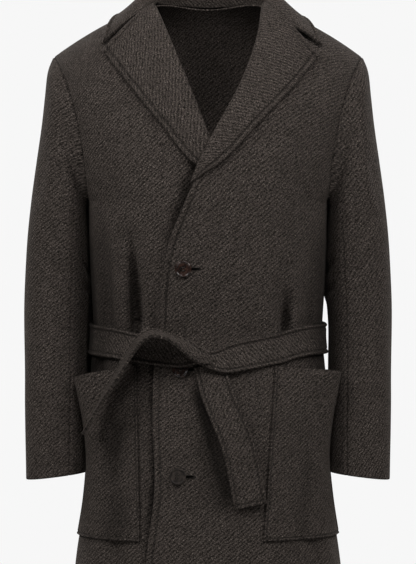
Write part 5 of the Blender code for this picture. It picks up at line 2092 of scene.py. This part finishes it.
@dataclass(frozen=True)
class HornFinish:
    """Polished dark horn with reddish clouds and fine streaks."""

    dark: Colour = (0.006, 0.0036, 0.003, 1.0)
    light: Colour = (0.03, 0.015, 0.011, 1.0)
    roughness: float = 0.16
    specular: float = 0.35
    coat: float = 0.08
    name: str = "dark_horn"
    coat_roughness: float = 0.12
    cloud_scale: float = 130.0
    streak_scale: float = 900.0
    streak_roughness: float = 0.12

    def material(self) -> Material:
        """Make the material."""
        sheet = NodeSheet(self.name)
        place = sheet.coordinates("Object")
        clouds = sheet.noise(place, self.cloud_scale, 3.0)
        streaks = sheet.noise(place, self.streak_scale)
        share = sheet.map_range(sheet.total((clouds, 0.75), (streaks, 0.25)), 0.38, 0.66)
        rougher = self.roughness + self.streak_roughness
        sheet.dress(
            Base_Color=sheet.mix(share, self.dark, self.light),
            Roughness=sheet.map_range(streaks, 0.3, 0.7, self.roughness, rougher),
            Specular_IOR_Level=self.specular, Coat_Weight=self.coat, Coat_Roughness=self.coat_roughness,
        )
        sheet.bump(streaks, 0.00008, 0.3)
        return sheet.material


@dataclass(frozen=True)
class ThreadFinish:
    """Dark twisted sewing thread."""

    dark: Colour = (0.013, 0.011, 0.0095, 1.0)
    light: Colour = (0.046, 0.039, 0.034, 1.0)
    roughness: float = 0.7
    specular: float = 0.1
    name: str = "dark_thread"
    twist_scale: float = 1400.0

    def material(self) -> Material:
        """Make the material."""
        sheet = NodeSheet(self.name)
        twist = sheet.noise(sheet.coordinates("Object"), self.twist_scale)
        sheet.dress(
            Base_Color=sheet.mix(sheet.map_range(twist, 0.35, 0.65), self.dark, self.light),
            Roughness=self.roughness, Specular_IOR_Level=self.specular,
        )
        sheet.bump(twist, 0.0002, 0.5)
        return sheet.material


@dataclass(frozen=True)
class FloorFinish:
    """Plain pale floor with the faintest mottling."""

    pale: Colour = (0.56, 0.56, 0.55, 1.0)
    paler: Colour = (0.6, 0.6, 0.59, 1.0)
    roughness: float = 0.85
    mottle_scale: float = 3.0

    def material(self) -> Material:
        """Make the material."""
        sheet = NodeSheet("pale_floor")
        mottling = sheet.noise(sheet.coordinates("Object"), self.mottle_scale)
        sheet.dress(Base_Color=sheet.mix(mottling, self.pale, self.paler), Roughness=self.roughness)
        return sheet.material


# Studio


@dataclass(frozen=True)
class SoftBox:
    """A large area light: its place, size and power, aimed at the coat's middle."""

    name: str
    place: tuple[float, float, float]
    size: float
    power: float
    target: tuple[float, float, float] = (0.0, 0.0, -0.45)
    spread: float = pi


@dataclass
class Studio:
    """Pale floor, soft light and the camera, square on to the front."""

    metre_per_pixel: float = 0.0016
    image_height: int = 564
    neck_row: float = 6.0
    distance: float = 4.0
    floor_height: float = -1.56
    floor_radius: float = 3.4
    sky: Colour = (0.93, 0.93, 0.93, 1.0)
    fill: float = 0.045
    boxes: tuple[SoftBox, ...] = (
        SoftBox("left", (-2.3, -1.9, 1.8), 1.7, 86.0), SoftBox("right", (2.4, -1.9, 1.7), 1.7, 75.0),
        SoftBox("front", (0.2, -2.6, 2.2), 1.1, 6.0, (0.0, 0.0, 0.05), radians(50)),
        SoftBox("behind_left", (2.4, 2.6, 1.5), 1.8, 110.0),
        SoftBox("behind_right", (-2.2, 2.8, 1.7), 1.8, 130.0),
    )

    def camera(self) -> None:
        """A long lens at the height of the picture's middle, framing the picture's height."""
        data = bpy.data.cameras.new("front_camera")
        data.sensor_fit = "VERTICAL"
        data.sensor_height = 36.0
        data.lens = data.sensor_height * self.distance / (self.image_height * self.metre_per_pixel)
        camera = bpy.data.objects.new("front_camera", data)
        middle = (self.neck_row - self.image_height / 2) * self.metre_per_pixel
        camera.location = (0.0, -self.distance, middle)
        camera.rotation_euler = (pi / 2, 0.0, 0.0)
        bpy.context.scene.collection.objects.link(camera)
        bpy.context.scene.camera = camera

    def lights(self) -> None:
        """Soft boxes aimed at the coat, and an even pale surround."""
        for box in self.boxes:
            data = bpy.data.lights.new(box.name, "AREA")
            data.size = box.size
            data.energy = box.power
            data.spread = box.spread
            light = bpy.data.objects.new(box.name, data)
            light.visible_camera = False
            aim = unit(np.array(box.target) - np.array(box.place))
            light.location = box.place
            light.rotation_euler = (math.acos(-aim[2]), 0.0, math.atan2(aim[1], aim[0]) - pi / 2)
            bpy.context.scene.collection.objects.link(light)
        world = bpy.data.worlds.new("surround")
        world.use_nodes = True
        tree = world.node_tree
        ground = tree.nodes["Background"]
        ground.inputs["Color"].default_value = self.sky
        rays = tree.nodes.new("ShaderNodeLightPath")
        span = tree.nodes.new("ShaderNodeMapRange")
        span.inputs["To Min"].default_value = self.fill
        tree.links.new(rays.outputs["Is Camera Ray"], span.inputs["Value"])
        tree.links.new(span.outputs[0], ground.inputs["Strength"])
        bpy.context.scene.world = world

    def floor(self, finish: Material) -> None:
        """A round floor: rings of points about its middle."""
        radius = np.linspace(0.0001, 1.0, 12) * self.floor_radius
        turn = round_turns(96)
        x = radius[:, None] * np.cos(turn)
        y = radius[:, None] * np.sin(turn)
        points = np.stack([x, y, np.full_like(x, self.floor_height)], axis=-1)
        index = closed(np.arange(x.size).reshape(x.shape), 1)
        add_piece("floor", points.reshape(-1, 3), grid_faces(index, True), finish)

    def build(self) -> None:
        """Set up the studio."""
        self.floor(FloorFinish().material())
        self.lights()
        self.camera()
        bpy.context.scene.view_settings.view_transform = "Standard"


BUTTON_PLACES: tuple[tuple[float, float], ...] = ((-0.0375, -0.421), (-0.0417, -0.578), (-0.0457, -0.7415))
STITCHED_SIDES: dict[str, tuple[Side, ...]] = {
    "front": (Side.LAST_COLUMN,), "lapel": (Side.LAST_COLUMN, Side.LAST_ROW),
    "collar": (Side.LAST_COLUMN, Side.FIRST_ROW, Side.LAST_ROW),
    "pocket": (Side.FIRST_ROW, Side.FIRST_COLUMN, Side.LAST_COLUMN),
    "belt_tail": (Side.FIRST_COLUMN, Side.LAST_COLUMN, Side.LAST_ROW),
    "belt": (Side.FIRST_COLUMN, Side.LAST_COLUMN),
}
BEAD = ThreadFinish((0.006, 0.005, 0.0044, 1.0), (0.02, 0.0168, 0.0146, 1.0), name="bead_thread")
# Painted shadow: a near-black finish with no specular, for the lens in each buttonhole's slit.
SLIT_SHADOW = ThreadFinish(
    (0.0016, 0.0014, 0.0012, 1.0), (0.003, 0.0026, 0.0023, 1.0), specular=0.0, name="slit_shadow"
)
# Painted shade: a matte copy of the horn, without its highlights, standing in for the third button's shaded
# look.
SHADED_HORN = HornFinish(
    (0.013, 0.0104, 0.009, 1.0), (0.034, 0.027, 0.023, 1.0), 0.55, 0.12, 0.0, "shaded_horn"
)


def sew_edges(pieces: Sequence[ClothPiece], top: float, thread: Material) -> None:
    """Stitch every finished edge, the fronts only up to where the lapels begin.

    Args:
        pieces: the cloth pieces.
        top: height above which a front isn't stitched.
        thread: the thread's material.
    """
    stitching = Topstitching()
    rows = []
    for piece in pieces:
        limit = top if piece.node.startswith("front") else None
        sides = next((sides for name, sides in STITCHED_SIDES.items() if piece.node.startswith(name)), ())
        rows += [stitching.stitches(*piece.stitch_line(side), top=limit) for side in sides]
    stitching.build("topstitching", rows, thread)


def main() -> None:
    """Build the studio and the coat."""
    logging.basicConfig(level=logging.INFO, format="%(name)s: %(message)s")
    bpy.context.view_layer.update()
    Studio().build()
    twill, horn, shaded_horn, thread, bead, slit = (
        finish.material()
        for finish in (TwillFinish(), HornFinish(), SHADED_HORN, ThreadFinish(), BEAD, SLIT_SHADOW)
    )
    panels = BodyPanels()
    pieces = panels.pieces() + Sleeves().pieces() + LapelsAndCollar().pieces()
    pieces += [LEFT_POCKET.piece(), RIGHT_POCKET.piece()] + ClothBelt().pieces()
    for piece in pieces:
        piece.build(twill)
    for number, (x, height) in enumerate(BUTTON_PLACES, start=1):
        # The last button gets the matte copy of the horn, painted shade in place of its highlights.
        HornButton(number, x, height).build(shaded_horn if number == len(BUTTON_PLACES) else horn, thread)
        # The buttonholes' slits get the painted shadow finish.
        Buttonhole(number, x, height).build(bead, slit)
    sew_edges(pieces, panels.break_height, thread)


if __name__ == "__main__":
    main()
